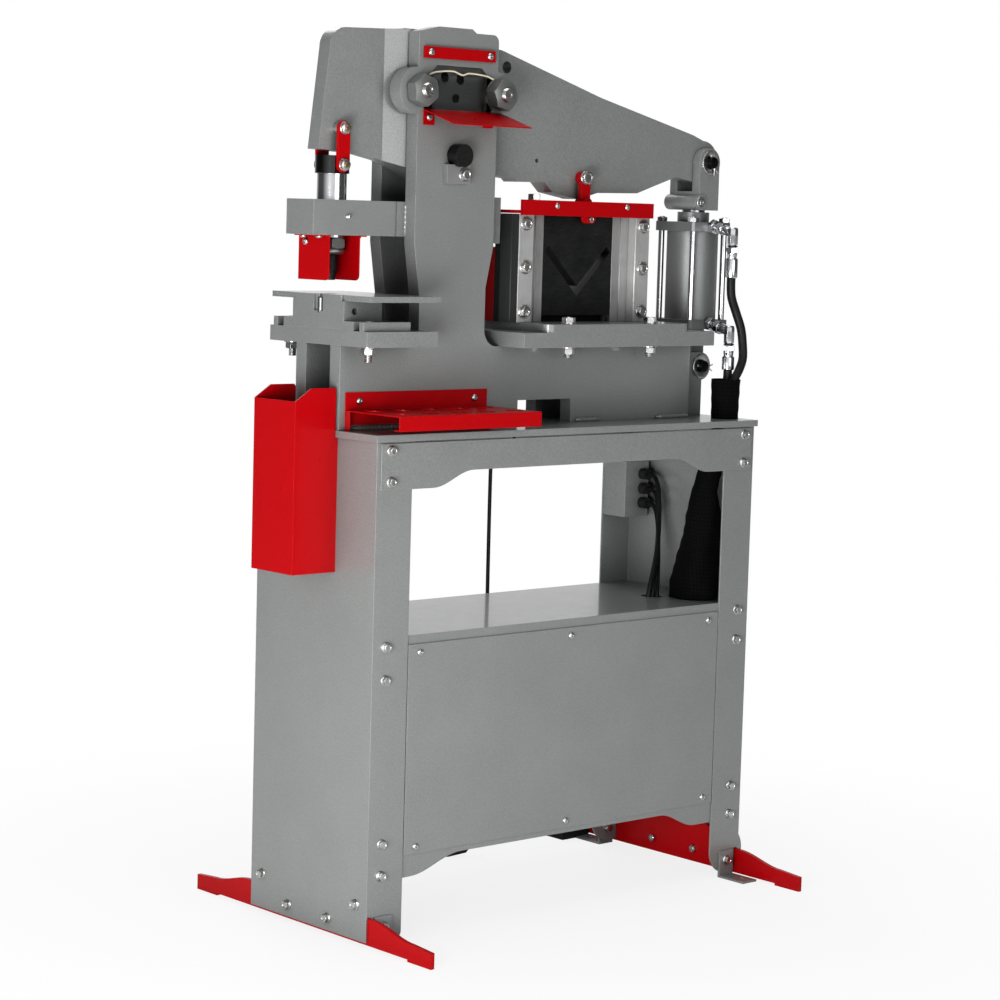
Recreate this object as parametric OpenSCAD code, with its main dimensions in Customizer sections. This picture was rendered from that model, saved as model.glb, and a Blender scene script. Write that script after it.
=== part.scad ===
// Hydraulic ironworker: rocker-beam punch, rod shear and angle shear on a sheet-metal stand.
// Millimetres. Origin: centre of the four floor anchor holes, on the floor. +X runs from the
// punch end to the cylinder end, +Y to the back, +Z up. The beam is modelled at rest, punch raised.

/* [Stand] */
// Depth of the stand over its leg flanges
stand_d = 334; // [310:1:360]
// Height of the underside of the table plate
table_z = 880; // [840:1:920]
// Sheet thickness of legs, aprons, skirts and panels
sheet_t = 3; // [2:0.5:4]
// Width of the bent leg flanges
post_w = 79; // [72:1:86]
// Height of the aprons at their ends
apron_h = 83; // [78:1:92]
// Height of the aprons between their curves
apron_mid_h = 55; // [45:1:65]
// Top of the shelf
shelf_z = 541; // [520:1:560]
// Bottom of the access panel
panel_low_z = 152; // [146:1:158]
// Thickness of the table plate
table_t = 12; // [8:1:16]
// How far the table plate stands past the legs
table_over = 5; // [2:1:8]
// How far the feet reach past the legs
foot_reach = 172; // [140:1:200]
// Thickness of the foot plates
foot_t = 8; // [6:1:10]
// Distance from the stand's left end to the frame column
col_in = 158; // [150:1:170]
// Distance from the cylinder's axis to the stand's right end
cyl_in = 17; // [12:1:24]

/* [Frame] */
// Thickness of each frame plate
plate_t = 28; // [24:1:32]
// Gap between the two frame plates
plate_gap = 68; // [66:1:74]
// Width of the frame column
col_w = 185; // [178:1:192]
// Height of the column above the table plate
col_h = 704; // [696:1:712]
// Height of the lower jaw above the table plate
jaw_h = 147; // [140:1:152]
// Height of the shear notch floor above the table plate
notch_h = 142; // [138:1:146]

/* [Beam] */
// Thickness of the beam's head
head_t = 30; // [26:1:34]
// Thickness of the beam at its pivot
hub_t = 64; // [60:1:65]
// Thickness of the beam's long arm
arm_t = 40; // [34:1:42]
// Diameter of the pivot pin
pivot_d = 40; // [36:1:44]
// Wall of the pivot bush
bush_wall = 8; // [6:1:10]
// Turn of the beam over its full stroke, in degrees
beam_turn = 7; // [6:0.5:7]

/* [Punch] */
// Diameter of the ram
ram_d = 52; // [48:1:54]
// Diameter of the punch tip
punch_d = 18; // [12:1:20]
// Clearance between punch and die, on the diameter
die_clear = 1; // [0.6:0.1:1.6]
// Thickness of the bolster
bolster_t = 27; // [24:1:30]
// Thickness of the work table
work_t = 10; // [8:1:12]

/* [Shear] */
// Distance from the pivot pin to the angle shear's housing
shear_gap = 170; // [160:1:190]
// Width of the angle shear's housing
shear_w = 334; // [326:1:340]
// Height of the angle shear's housing
shear_h = 198; // [192:1:202]
// Width of the V slot
slot_w = 14; // [12:1:16]
// Thickness of the lower bed plate
bed_low_t = 27; // [24:1:29]
// Thickness of the upper bed plate
bed_up_t = 15; // [12:1:17]

/* [Cylinder] */
// Distance from the angle shear's housing to the cylinder's caps
cyl_gap = 112; // [100:1:140]
// Outside diameter of the barrel
barrel_d = 100; // [90:1:103]
// Diameter of the piston rod
rod_d = 45; // [38:1:50]
// Diameter of the cylinder's pins
cyl_pin_d = 25; // [22:1:28]
// Diameter of the hoses
hose_d = 17; // [15:1:18]

/* [Bin and tray] */
// Sheet thickness of the bin, the tray and the guards
red_t = 2; // [1.5:0.5:2.5]
// Depth of the slug bin
bin_d = 94; // [80:1:110]
// Width of the slug bin
bin_w = 117; // [100:1:130]
// Length of the tool tray
tray_l = 325; // [310:1:335]
// Depth of the tool tray
tray_d = 150; // [135:1:160]
// Diameter of the holes in the tool tray
tray_hole_d = 32; // [26:1:36]

/* [Hidden] */
$fn = 64;

// General clearances
cut = 2;
run_fit = 0.05;
fit = 0.3;
slip = 0.5;
open_fit = 1.3;

// Colours
paint_grey = [0.49, 0.50, 0.49];
paint_red = [0.80, 0.04, 0.08];
zinc = [0.78, 0.78, 0.76];
dark = [0.12, 0.12, 0.12];
chrome = [0.85, 0.86, 0.88];
steel = [0.58, 0.58, 0.57];

// Stand places
cap_w = 106;
pivot_off = 2.5;
pivot_in = col_w / 2 - pivot_off;
arm_l = shear_gap + shear_w + cyl_gap + cap_w / 2;
stand_l = col_in + pivot_in + arm_l + cyl_in;
half_l = stand_l / 2;
half_d = stand_d / 2;
leg_lift = 8;
leg_h = table_z - leg_lift;
top_z = table_z + table_t;
flange_r = [10, 44];
foot_slot_h = 53;
bolt_in = 29.5;
apron_row_in = [15, 14];
apron_rows = [table_z - apron_row_in[0], table_z - apron_h + apron_row_in[1]];
lip_h = 92;
shelf_row_in = [16, 18];
shelf_rows = [shelf_z - shelf_row_in[0], shelf_z - lip_h + shelf_row_in[1]];
skirt_low_z = 112;
skirt_mid_z = 142;
skirt_top_z = 200;
skirt_row_in = [11, 21];
skirt_rows = [skirt_low_z + skirt_row_in[0], skirt_top_z - skirt_row_in[1]];
apron_end_in = 8;
apron_curve_in = [46, 46];
apron_curve_l = [92, 92];
skirt_curve_in = [18, 43];
skirt_curve_l = [120, 95];
curve_steps = 10;
panel_gap = 2;
panel_drop = 16;
panel_top_z = shelf_z - panel_drop;
panel_screw_in = 28;
panel_row_in = [13, 15];
panel_rows = [panel_low_z + panel_row_in[0], panel_top_z - panel_row_in[1]];
pan_t = 3;
foot_tip_h = 28;
foot_mid_h = 32;
foot_leg_h = 51;
foot_top_l = 10;
foot_top_h = 86;
foot_pad_l = 62;
foot_pad_h = 4;
foot_flat_share = 0.7;
foot_bolts_y = [136, 57];
foot_bolts_z = [71, 30];
bracket_w = 38;
bracket_t = 4;
bracket_in = 36;
bracket_out = 68;
bracket_up = 52;
bracket_bolt_z = 33;
anchor_out = 46;
anchor_d = 13;

// Fasteners
bolt_d = 10;
bolt_gap = 0.4;
bolt_flange_d = 19;
bolt_flange_t = 2;
bolt_af = 14;
bolt_head_h = 6;
big_d = 14;
big_af = 22;
big_head_h = 9;
big_washer_d = 28;
big_washer_t = 3;
gib_washer_d = 26;
gib_bolt_af = 18;
screw_d = 6;
screw_head_d = 13;
screw_head_h = 4;
screw_l = 10;

// Frame outline, measured from the left end of the stand
jaw_in = -2;
throat_out = 15;
waist_out = 169;
body_gap = 6;
jaw_z = top_z + jaw_h;
notch_z = top_z + notch_h;
col_z = top_z + col_h;
jaw_x = -half_l + jaw_in;
col_x = -half_l + col_in;
col_r_x = col_x + col_w;
throat_x = col_x + throat_out;
waist_r_x = col_x + waist_out;
body_r_x = half_l - cyl_in - cap_w / 2 - body_gap;
plate_y = plate_gap / 2;
plate_out_y = plate_y + plate_t;
throat_r = 16;
throat_mid_up = 79;
throat_mid_z = jaw_z + throat_mid_up;
throat_top_up = 179;
throat_top_z = jaw_z + throat_top_up;
notch_r = 30;
notch_mid_up = 106;
notch_mid_z = notch_z + notch_mid_up;
notch_top_up = 181;
notch_top_z = notch_z + notch_top_up;
shoulder_h = 10;
bump_h = 7;
bump_x = [45, 122];
bump_run = 10;
col_corner_r = 13;
ear_r = 41;
ear_up = 591;
ear_z = top_z + ear_up;
win_l = 125;
win_h = 77;
win_in = 32;
win_x = col_x + win_in;
win_up = 560;
win_z = top_z + win_up;
win_cut = 10;
base_gap_out = 255;
base_gap_x = col_x + base_gap_out;
base_gap_l = 133;
base_gap_h = 43;
rod_exit_d = 34;

// Pivot and tie bolts
pivot_x = col_x + pivot_in;
pivot_up = 481;
pivot_z = top_z + pivot_up;
pin_out = 25;
pin_back = 6;
pin_groove = 6;
keeper_l = 54;
keeper_h = 34;
keeper_t = 11;
keeper_gap = 2;
keeper_bolt_in = 14;
tie_d = 33;
nut_af = 50;
nut_h = 26;
tie_tail = 9;

// Beam outline
hub_r = 58;
head_l = 271;
head_corner_r = 34;
head_corner = [-216, 178];
head_points = [[-271, 2], [-250, 178], [-216, 212]];
arm_top_offs = [[-85, 217], [140, 194], [50, 121], [-29, 62]];
arm_low_offs = [[-72, -20], [-176, -54], [47, -56], [0, -69], [-68, -58], [-88, -40], [188, -41],
  [181, -35], [97, -29]];
neck_points = [[-82, -25], [-135, -12], [-182, -3]];
hub_shares = [0.5, 0.86];
head_end_x = pivot_x - head_l;
head_taper_in = [130, 83];
head_taper_x = [for (d = head_taper_in) pivot_x - d];
hub_end_out = [84, 100];
hub_end_x = [for (d = hub_end_out) pivot_x + d];
arm_end_up = 10;
arm_pin_x = pivot_x + arm_l;
arm_pin_z = pivot_z + arm_end_up;
arm_end_r = 42;
link_off = 5;
link_arm = shear_gap + shear_w / 2 + link_off;
arm_top_from = [0, 0, link_arm, arm_l];
arm_low_from = [arm_l, arm_l, link_arm, link_arm, link_arm, link_arm, 0, 0, 0];
arm_top_points = [for (i = [0:3]) arm_top_offs[i] + [arm_top_from[i], 0]];
arm_low_points = [for (i = [0:8]) arm_low_offs[i] + [arm_low_from[i], 0]];
link_drop = 29;
link_pin_x = pivot_x + link_arm;
link_pin_z = pivot_z - link_drop;
link_lobe_r = 40;
lift_hole_out = 153;
lift_hole_x = pivot_x + lift_hole_out;
lift_hole_up = 164;
lift_hole_z = pivot_z + lift_hole_up;
lift_hole_d = 22;
tap_hole_out = 233;
tap_hole_x = pivot_x + tap_hole_out;
tap_hole_drop = 1;
tap_hole_z = pivot_z - tap_hole_drop;
tap_hole_d = 8;

// Rod shear
blade_back = 6;
rod_blade_t = 20;
rod_blade_l = 92;
rod_blade_h = 68;
rod_hole_d = [19, 19, 17];
rod_hole_out = [-25, 11, 1];
rod_hole_x = [for (d = rod_hole_out) pivot_x + d];
rod_hole_up = [136, 134, 100];
rod_hole_z = [for (d = rod_hole_up) pivot_z + d];
rod_pass_d = 26;
guard_t = 4;
guard_in = 13;
guard_l = 157;
guard_h = 60;
guard_bite_r = 31;
strap_in = 10;
strap_l = 163;
strap_h = 20;
strap_t = 6;
strap_up = 648;
strap_z = top_z + strap_up;
strap_screw_in = 13;
defl_in = 13;
defl_l = 181;
defl_out = 84;
defl_drop = 26;
defl_tab_w = 24;
defl_tab_h = 28;
defl_tab_x = [0, 137];
defl_z = win_z;

// Punch station
punch_arm = 228;
ram_x = pivot_x - punch_arm;
guide_h = 61;
guide_up = 336;
guide_z = top_z + guide_up;
guide_out_t = 76;
guide_l = 190;
guide_out = 46;
guide_end_x = jaw_x - guide_out;
guide_r = 12;
guide_tongue_l = 148;
collar_d = 60;
collar_flat = 52;
collar_h = 31;
ram_top_drop = 8;
ram_top_z = pivot_z - ram_top_drop;
ram_low_drop = 4;
ram_low_z = guide_z - ram_low_drop;
spigot_d = 38;
spigot_h = 18;
nut_d = 54;
nut_drop = 34;
nut_z = guide_z - nut_drop;
nut_lip = 6;
nut_hole_d = 27;
punch_head_d = 37;
punch_body_d = 25;
punch_body_l = 26;
punch_tip_drop = 78;
punch_tip_z = guide_z - punch_tip_drop;
link_len = 63;
link_top_up = 47;
link_top_z = ram_top_z + link_top_up;
link_low_z = link_top_z - link_len;
ram_link_w = 26;
ram_link_t = 6;
ram_link_y = collar_flat / 2 + slip;
ram_link_slot = 4;
link_pin_d = 14;
link_pin_head_d = 22;
link_pin_head_h = 7;
link_shoulder_d = 24;
guard_half = 34;
guard_front = 40;
guard_back = 46;
guard_drop = 78;
guard_flange = 16;
guard_r = 10;
guard_screw_y = 22;

// Die station
bolster_l = 159;
bolster_w = 274;
bolster_out = 2;
bolster_x = jaw_x - bolster_out;
bolster_z = jaw_z;
die_foot_z = bolster_z + bolster_t;
die_foot_t = 16;
die_foot_l = 104;
die_foot_w = 254;
die_slot_w = 17;
die_slot_y = 107;
die_slot_l = 36;
die_block_l = 84;
die_block_w = 144;
work_ledge = 8;
work_up = 60;
work_top_z = die_foot_z + work_up;
work_l = 157;
work_w = 278;
work_in = 3;
work_x = jaw_x + work_in;
groove_w = 25;
groove_d = 5;
groove_h = 29;
set_hole_d = 12;
set_hole_in = 24;
set_hole_drop = 18;
die_d = 38;
die_h = 28;
die_relief_d = 26;
die_land = 8;
slug_d = 30;

// Angle shear
shear_x = pivot_x + shear_gap + shear_w / 2;
bed_out = 39;
bed_x = waist_r_x + bed_out;
bed_gap = 8;
bed_end_x = half_l - cyl_in - cap_w / 2 - bed_gap;
bed_l = bed_end_x - bed_x;
bed_w = 254;
bed_up_l = 366;
bed_up_in = 59;
bed_up_r = 16;
bed_z = notch_z;
bed_up_z = bed_z + bed_low_t;
housing_z = bed_up_z + bed_up_t;
bed_bolt_x = [-88, 121];
bed_bolt_y = 102;
housing_front = 27;
housing_back = 3;
blade_half = 88;
blade_t = 24;
blade_slip = 0.4;
tongue_t = 8;
tongue_out = 7;
gib_w = 37;
gib_t = 20;
gib_bolt_in = 17;
gib_bolt_shares = [0.10, 0.51, 0.91];
fixed_back = 18;
fixed_gap = 0.5;
channel_d = 29;
channel_w = 40;
channel_h = 136;
vee_up = 57;
vee_z = housing_z + vee_up;
vee_reach = 79;
blade_top_gap = 1;
blade_foot_gap = 12;
yoke_t = 6;
yoke_in = 1;
yoke_half = shear_w / 2 - yoke_in;
yoke_lip_h = 28;
yoke_lip_drop = 3;
yoke_lip_t = 9;
yoke_front = 57;
yoke_back = 40;
yoke_lug_w = 24;
yoke_lug_t = 8;
yoke_lug_gap = 1;
shear_link_w = 24;
shear_link_t = 8;
link_bolt_d = 14;
yoke_z = housing_z + shear_h + blade_top_gap;
yoke_pin_up = 21;

// Cylinder
cyl_x = arm_pin_x;
tang_t = 30;
tang_r = 26;
cheek_gap = 1;
lug_l = 165;
lug_r = 27;
lug_up = 58;
lug_top_gap = 8;
lug_foot_out = 4;
cap_t = 18;
cap_cut = 4;
clevis_drop = 92;
clevis_gap = 4;
clevis_z = arm_pin_z - clevis_drop;
barrel_h = 171;
gland_h = 19;
barrel_z = clevis_z - clevis_gap - gland_h - cap_t - barrel_h;
barrel_up = 91;
anchor_z = barrel_z - barrel_up;
barrel_wall = 8;
gland_d = 62;
tie_in = 43;
tie_rod_d = 12;
tie_nut_af = 19;
tie_nut_h = 10;
piston_t = 26;
piston_gap = 0.2;
rod_low = 12;
clevis_base_h = 36;
clevis_w = 54;
clevis_cheek_t = 19;
clevis_r = 28;
clevis_clear = 0.8;
clamp_l = 86;
clamp_d = 30;
clamp_in = 24;
pin_washer_d = 46;
pin_washer_t = 4;
pin_tail = 14;
spacer_out = [142, 225];
spacer_x = [for (d = spacer_out) col_x + d];
spacer_up = [327, 410];
spacer_z = [for (d = spacer_up) top_z + d];

// Hoses and fittings
port_in = [11, 7];
port_z = [barrel_z + barrel_h + port_in[0], barrel_z - port_in[1]];
port_drop = 12;
port_l = 55;
port_d = 18;
elbow_d = 26;
elbow_h = 30;
ferrule_d = 24;
ferrule_l = [56, 45];
sleeve_up = 76;
sleeve_in = 50;
sleeve_y = -half_d + sleeve_in;
port_y = -cap_w / 2 - port_l;
sleeve_mouth_z = top_z + sleeve_up;
sleeve_r = [27, 27, 27, 27, 23, 25, 36, 42, 47, 50, 50, 50];
sleeve_offs = [[-14, 0], [-14, 0], [-14, 0], [-14, 0], [-36, 2], [-51, 7], [-49, 14], [-46, 21], [-47, 26],
  [-48, 29], [-48, 30], [-48, 30]];
sleeve_shares = [1, 0.8992, 0.8242, 0.7469, 0.6414, 0.5125, 0.3836, 0.2665, 0.1493, 0.0719, 0.0321, 0];
mouth_d = 52;
mouth_deep = 104;
hose_sides = 10;
pressure_offs = [[0, 0, 270.7], [0, 0.5, 256], [3, 1.2, 233], [14, -1.4, 203], [22, -6.9, 173],
  [24, -10, 143], [21, -13.6, 116], [11, -15, 96], [0, -15.3, 81], [-9.5, -13, 65], [-17, -8.5, 49],
  [-22, -5, 33], [-23, -2.9, 13], [-23, -2, -16]];
return_offs = [[0, 0, 92.7], [0, 0.5, 87], [-1.2, 1.1, 75], [-3, 1.5, 63], [-4.8, 1.8, 51], [-6, 2.4, 39],
  [-6, 7, -16]];
function from_end(offs) = [for (p = offs) [half_l + p[0], p[1], p[2]]];
function hose_y(offs, p) = let(z0 = offs[0][2], z1 = offs[len(offs) - 1][2])
  port_y + p[1] + (sleeve_y - port_y) * (z0 - p[2]) / (z0 - z1);
function from_cyl(offs) = [for (p = offs) [cyl_x + p[0], hose_y(offs, p), top_z + p[2]]];
sleeve_low_z = shelf_z + fit;
sleeve_route = [for (i = [0:len(sleeve_offs) - 1]) [cyl_x + sleeve_offs[i][0], sleeve_y + sleeve_offs[i][1],
  sleeve_low_z + (sleeve_mouth_z - sleeve_low_z) * sleeve_shares[i]]];
pressure_route = from_cyl(pressure_offs);
return_route = from_cyl(return_offs);

// Power unit
tank_w = 210;
tank_h = 160;
tank_in = 150;
tank_x = -half_l + tank_in;
tank_lid_t = 6;
filler_d = 60;
filler_h = 26;
motor_d = 150;
motor_l = 230;
motor_in = 307;
motor_x = half_l - motor_in;
pump_gap = 137;
tank_l = motor_x - pump_gap - tank_x;
motor_foot_w = 170;
motor_foot_t = 8;
motor_foot_l = 120;
motor_foot_rise = 25;
terminal_l = 110;
terminal_w = 90;
terminal_h = 41;
pump_d = 96;
pump_hub_d = 60;
valve_l = 70;
valve_h = 60;

// Control box, cables and pedal
box_l = 64;
box_d = 62;
box_h = 110;
box_drop = 200;
box_z = table_z - box_drop;
box_in = 78;
box_x = half_l - box_in;
gland_rows = [85, 56, 27];
gland_in = 46;
gland_nut_d = 22;
gland_l = 18;
cable_d = 9;
cable_sides = 8;
cable_offs = [
  [[-32, 83.6, 765], [-33, 70, 764], [-37, 56, 756], [-43, 44, 737], [-50, 33, 710], [-62, 20, 680],
   [-79, 4, 645], [-99, -10, 610], [-117, -20, 580], [-129, -26, 555], [-133, -27, 535], [-133, -27,
     402.3]],
  [[-32, 83.6, 736], [-33, 70, 735], [-37, 56, 727], [-43, 44, 708], [-50, 33, 681], [-65, 19, 648],
   [-83, 4, 615], [-100, -10, 585], [-114, -21, 560], [-121, -27, 537], [-121, -27, 402.3]],
  [[-32, 83.6, 707], [-33, 70, 706], [-37, 56, 698], [-43, 44, 679], [-50, 33, 652], [-62, 20, 625],
   [-75, 6, 600], [-90, -9, 576], [-102, -21, 556], [-109, -27, 536], [-109, -27, 402.3]]];
cable_routes = [for (offs = cable_offs) from_end(offs)];
cable_hole_d = 44;
cable_hole_in = 121;
cable_hole_x = half_l - cable_hole_in;
cable_hole_y = -27;
cord_d = 7.5;
cord_in = 326;
cord_x = half_l - cord_in;
cord_drop = 40;
cord_z = table_z - cord_drop;
cord_gland_l = 22;
cord_gland_d = 18;
cord_offs = [[-326, 186.3, 840], [-326, 200, 839], [-326, 214, 832], [-326, 224, 818], [-326, 227, 800],
  [-326, 227, 600], [-326, 225, 400], [-326, 225, 200], [-326, 226, 110], [-327, 230, 60], [-333, 238, 28],
  [-347, 248, 10], [-367, 258, 4], [-397, 270, 4], [-429, 290, 4], [-445, 325, 4], [-432, 362, 4], [-392,
    385, 4],
  [-342, 382, 4], [-297, 358, 4], [-257, 330, 4], [-217, 318, 4], [-177, 313, 4], [-137, 313, 6], [-111,
    313, 13],
  [-91.3, 313, 18]];
cord_route = from_end(cord_offs);
pedal_in = 54;
pedal_out = 146;
pedal_x = half_l - pedal_in;
pedal_y = half_d + pedal_out;
pedal_l = 150;
pedal_w = 74;
pedal_base_t = 10;
pedal_side_h = 44;
pedal_side_t = 5;
pedal_wall_h = 34;
pedal_pin_d = 10;
pedal_pin_z = 26;
pedal_pin_in = 24;
treadle_gap = 2;
treadle_t = 8;
treadle_tilt = 10;
treadle_over = 8;

// Bin and tray places
bin_drop = 247;
bin_low_z = top_z - bin_drop;
bin_h = 299;
bin_tab_h = 22;
bin_tab_shares = [0.36, 0.90];
bin_table_gap = 6;
tray_in = 13;
tray_x = jaw_x + tray_in;
tray_up = 35;
tray_z = top_z + tray_up;
tray_back_h = 31;
tray_screw_in = 30;
tray_lip_h = 26;
tray_lip_in = 14;
tray_rows = 2;
tray_cols = 5;

// Shapes that repeat
module along_y(y0, t) { translate([0, y0 + t, 0]) rotate([90, 0, 0]) linear_extrude(t) children(); }
module along_x(x0, t) { translate([x0, 0, 0]) rotate([90, 0, 90]) linear_extrude(t) children(); }
module block(low, size) { translate(low) cube(size); }
module ycyl(x, y0, z, d, l) { translate([x, y0, z]) rotate([-90, 0, 0]) cylinder(d = d, h = l); }
module xcyl(x0, y, z, d, l) { translate([x0, y, z]) rotate([0, 90, 0]) cylinder(d = d, h = l); }
module zcyl(x, y, z0, d, l) { translate([x, y, z0]) cylinder(d = d, h = l); }
module hexagon(af) { circle(d = af / cos(30), $fn = 6); }
module both_sides() { children(); mirror([0, 1, 0]) children(); }
module both_ends() { children(); mirror([1, 0, 0]) children(); }

// A rectangle with all four corners rounded
module round_rect(w, h, r) {
  translate([r, 0]) square([w - 2 * r, h]);
  translate([0, r]) square([w, h - 2 * r]);
  for (x = [r, w - r], y = [r, h - r]) translate([x, y]) circle(r);
}

// Points of a smooth step from one point to another
function s_curve(a, b, n) =
  [for (i = [0:n]) let(u = i / n) [a[0] + (b[0] - a[0]) * u,
    a[1] + (b[1] - a[1]) * (1 - cos(180 * u)) / 2]];
function flip(points) = [for (i = [len(points) - 1:-1:0]) [-points[i][0], points[i][1]]];

// A closed tube swept along a route, one ring at each point
function unit(v) = v / norm(v);
function tangent(p, i) = unit(p[min(i + 1, len(p) - 1)] - p[max(i - 1, 0)]);
function side_of(t) = unit(cross(t, abs(t[0]) > 0.9 ? [0, 1, 0] : [1, 0, 0]));
function ring(p, i, r, sides) = let(t = tangent(p, i), a = side_of(t), b = cross(t, a))
  [for (k = [0:sides - 1]) p[i] + r * (cos(360 * k / sides) * a + sin(360 * k / sides) * b)];
module tube(p, radii, sides) {
  n = len(p);
  points = [for (i = [0:n - 1]) each ring(p, i, radii[i], sides)];
  walls = [for (i = [0:n - 2], k = [0:sides - 1]) let(a = i * sides + k, b = i * sides + (k + 1) % sides)
    each [[a, b, b + sides], [a, b + sides, a + sides]]];
  low = [for (k = [1:sides - 2]) [0, k + 1, k]];
  high = [for (k = [1:sides - 2]) let(o = (n - 1) * sides) [o, o + k, o + k + 1]];
  polyhedron(points, [for (f = concat(walls, low, high)) [f[0], f[2], f[1]]]);
}
module even_tube(p, d, sides) { tube(p, [for (q = p) d / 2], sides); }

// A flanged hex bolt along +Z through a grip, with its nut
module flange_bolt(grip) {
  translate([0, 0, -bolt_flange_t]) cylinder(d = bolt_flange_d, h = bolt_flange_t);
  translate([0, 0, -bolt_flange_t - bolt_head_h]) linear_extrude(bolt_head_h) hexagon(bolt_af);
  cylinder(d = bolt_d, h = grip + bolt_head_h);
  translate([0, 0, grip]) linear_extrude(bolt_head_h) hexagon(bolt_af);
}
// A larger hex bolt with washers, head at the start of the grip
module heavy_bolt(grip, tail) {
  translate([0, 0, -big_washer_t]) cylinder(d = big_washer_d, h = big_washer_t);
  translate([0, 0, -big_washer_t - big_head_h]) linear_extrude(big_head_h) hexagon(big_af);
  cylinder(d = big_d, h = grip + big_washer_t + big_head_h + tail);
  translate([0, 0, grip]) cylinder(d = big_washer_d, h = big_washer_t);
  translate([0, 0, grip + big_washer_t]) linear_extrude(big_head_h) hexagon(big_af);
}
// A button-head screw along +Z, seated at the start of its hole
module button_screw() {
  translate([0, 0, -screw_head_h]) cylinder(d1 = screw_head_d - screw_head_h, d2 = screw_head_d,
    h = screw_head_h);
  cylinder(d = screw_d, h = screw_l);
}
module facing_back(x, y, z) { translate([x, y, z]) rotate([-90, 0, 0]) children(); }

// Places of the stand's flange bolts, on the front, as x and z
function flange_places() = [for (s = [-1, 1], z = concat(apron_rows, shelf_rows, skirt_rows))
  [s * (half_l - bolt_in), z]];
function bracket_places() = [for (s = [-1, 1]) [s * (half_l - bracket_in), bracket_bolt_z]];
function panel_places() = [for (x = [-1, 0, 1], z = panel_rows)
  [x * (half_l - post_w - panel_screw_in), z]];
function guard_places() = [for (s = [-1, 1], y = [-guard_screw_y, guard_screw_y])
  [ram_x + s * (guard_half + guard_flange / 2), y]];
function tray_places() = [for (x = [tray_screw_in, tray_l - tray_screw_in]) [tray_x + x,
  tray_z + tray_back_h / 2]];
module stand_bolt_holes() {
  for (p = concat(flange_places(), bracket_places()))
    ycyl(p[0], -half_d - sheet_t - cut, p[1], bolt_d + 2 * bolt_gap, stand_d + sheet_t + 2 * cut);
}
module panel_screw_holes() {
  for (p = panel_places()) ycyl(p[0], -half_d - cut, p[1], screw_d + 2 * bolt_gap, stand_d + 2 * cut);
}
module foot_bolt_holes() {
  for (i = [0, 1], s = [-1, 1])
    xcyl(-half_l - cut, s * foot_bolts_y[i], foot_bolts_z[i], bolt_d + 2 * bolt_gap, stand_l + 2 * cut);
}
module sleeve_hole() {
  zcyl(sleeve_route[2][0], sleeve_route[2][1], table_z - sheet_t - cut, 2 * sleeve_r[2] + 2 * fit,
    table_t + sheet_t + 2 * cut);
}

// Bent leg: panel, two flanges with a rounded lower corner of radius r, top flange
module leg(r) {
  difference() {
    union() {
      block([-half_l, -half_d, leg_lift], [sheet_t, stand_d, leg_h]);
      both_sides() along_y(-half_d, sheet_t) {
        translate([-half_l, leg_lift + r]) square([post_w, leg_h - r]);
        translate([-half_l, leg_lift]) square([post_w - r, leg_h]);
        translate([-half_l + post_w - r, leg_lift + r]) circle(r);
      }
      block([-half_l, -half_d, table_z - sheet_t], [post_w, stand_d, sheet_t]);
    }
    both_sides() block([-half_l + sheet_t, -half_d - cut, leg_lift - cut],
      [foot_t + slip, sheet_t + 2 * cut, foot_slot_h - leg_lift + cut]);
    stand_bolt_holes();
    foot_bolt_holes();
  }
}
module left_leg() { color(paint_grey) leg(flange_r[0]); }
module right_leg() {
  color(paint_grey) difference() {
    mirror([1, 0, 0]) leg(flange_r[1]);
    sleeve_hole();
  }
}

// Strip with lower ends and a raised middle between smooth curves
module strip_profile(end_x, end_z, mid_z, high_z, ins, runs) {
  ends = [for (i = [0, 1]) let(a = half_l - post_w - ins[i])
    concat([[-end_x, end_z]], s_curve([-a, end_z], [runs[i] - a, mid_z], curve_steps))];
  polygon(concat([[-end_x, high_z]], ends[0], flip(ends[1]), [[end_x, high_z]]));
}
module cross_rails() {
  color(paint_grey) {
    aprons();
    skirts();
  }
}
module apron_profile(end_x) {
  strip_profile(end_x, table_z - apron_h, table_z - apron_mid_h, table_z - sheet_t, apron_curve_in,
    apron_curve_l);
}
// Aprons: the front one outside the leg flanges, the rear one behind them
module aprons() {
  difference() {
    union() {
      along_y(-half_d - sheet_t, sheet_t) apron_profile(half_l - apron_end_in);
      along_y(half_d - 2 * sheet_t, sheet_t) apron_profile(half_l - sheet_t);
    }
    stand_bolt_holes();
    ycyl(cord_x, half_d - 2 * sheet_t - cut, cord_z, cord_gland_d / 2 + 2 * fit, sheet_t + 2 * cut);
  }
}
module skirts() {
  difference() {
    both_sides() along_y(-half_d + sheet_t, sheet_t)
      strip_profile(half_l - sheet_t, skirt_low_z, skirt_mid_z, skirt_top_z, skirt_curve_in, skirt_curve_l);
    stand_bolt_holes();
    panel_screw_holes();
  }
}
module shelf() {
  color(paint_grey) difference() {
    union() {
      block([-half_l + sheet_t, -half_d + sheet_t, shelf_z - sheet_t],
        [stand_l - 2 * sheet_t, stand_d - 2 * sheet_t, sheet_t]);
      both_sides() block([-half_l + sheet_t, -half_d + sheet_t, shelf_z - lip_h],
        [stand_l - 2 * sheet_t, sheet_t, lip_h]);
    }
    stand_bolt_holes();
    panel_screw_holes();
    zcyl(cable_hole_x, cable_hole_y, shelf_z - sheet_t - cut, cable_hole_d, sheet_t + 2 * cut);
  }
}
module cover_panel() {
  w = stand_l - 2 * post_w - 2 * panel_gap;
  difference() {
    block([-w / 2, -half_d, panel_low_z], [w, sheet_t, panel_top_z - panel_low_z]);
    panel_screw_holes();
  }
}
module cover_panels() { color(paint_grey) both_sides() cover_panel(); }
module base_pan() {
  color(paint_grey) block([-half_l + sheet_t, -half_d + sheet_t, skirt_top_z],
    [stand_l - 2 * sheet_t, stand_d - 2 * sheet_t, pan_t]);
}
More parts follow.
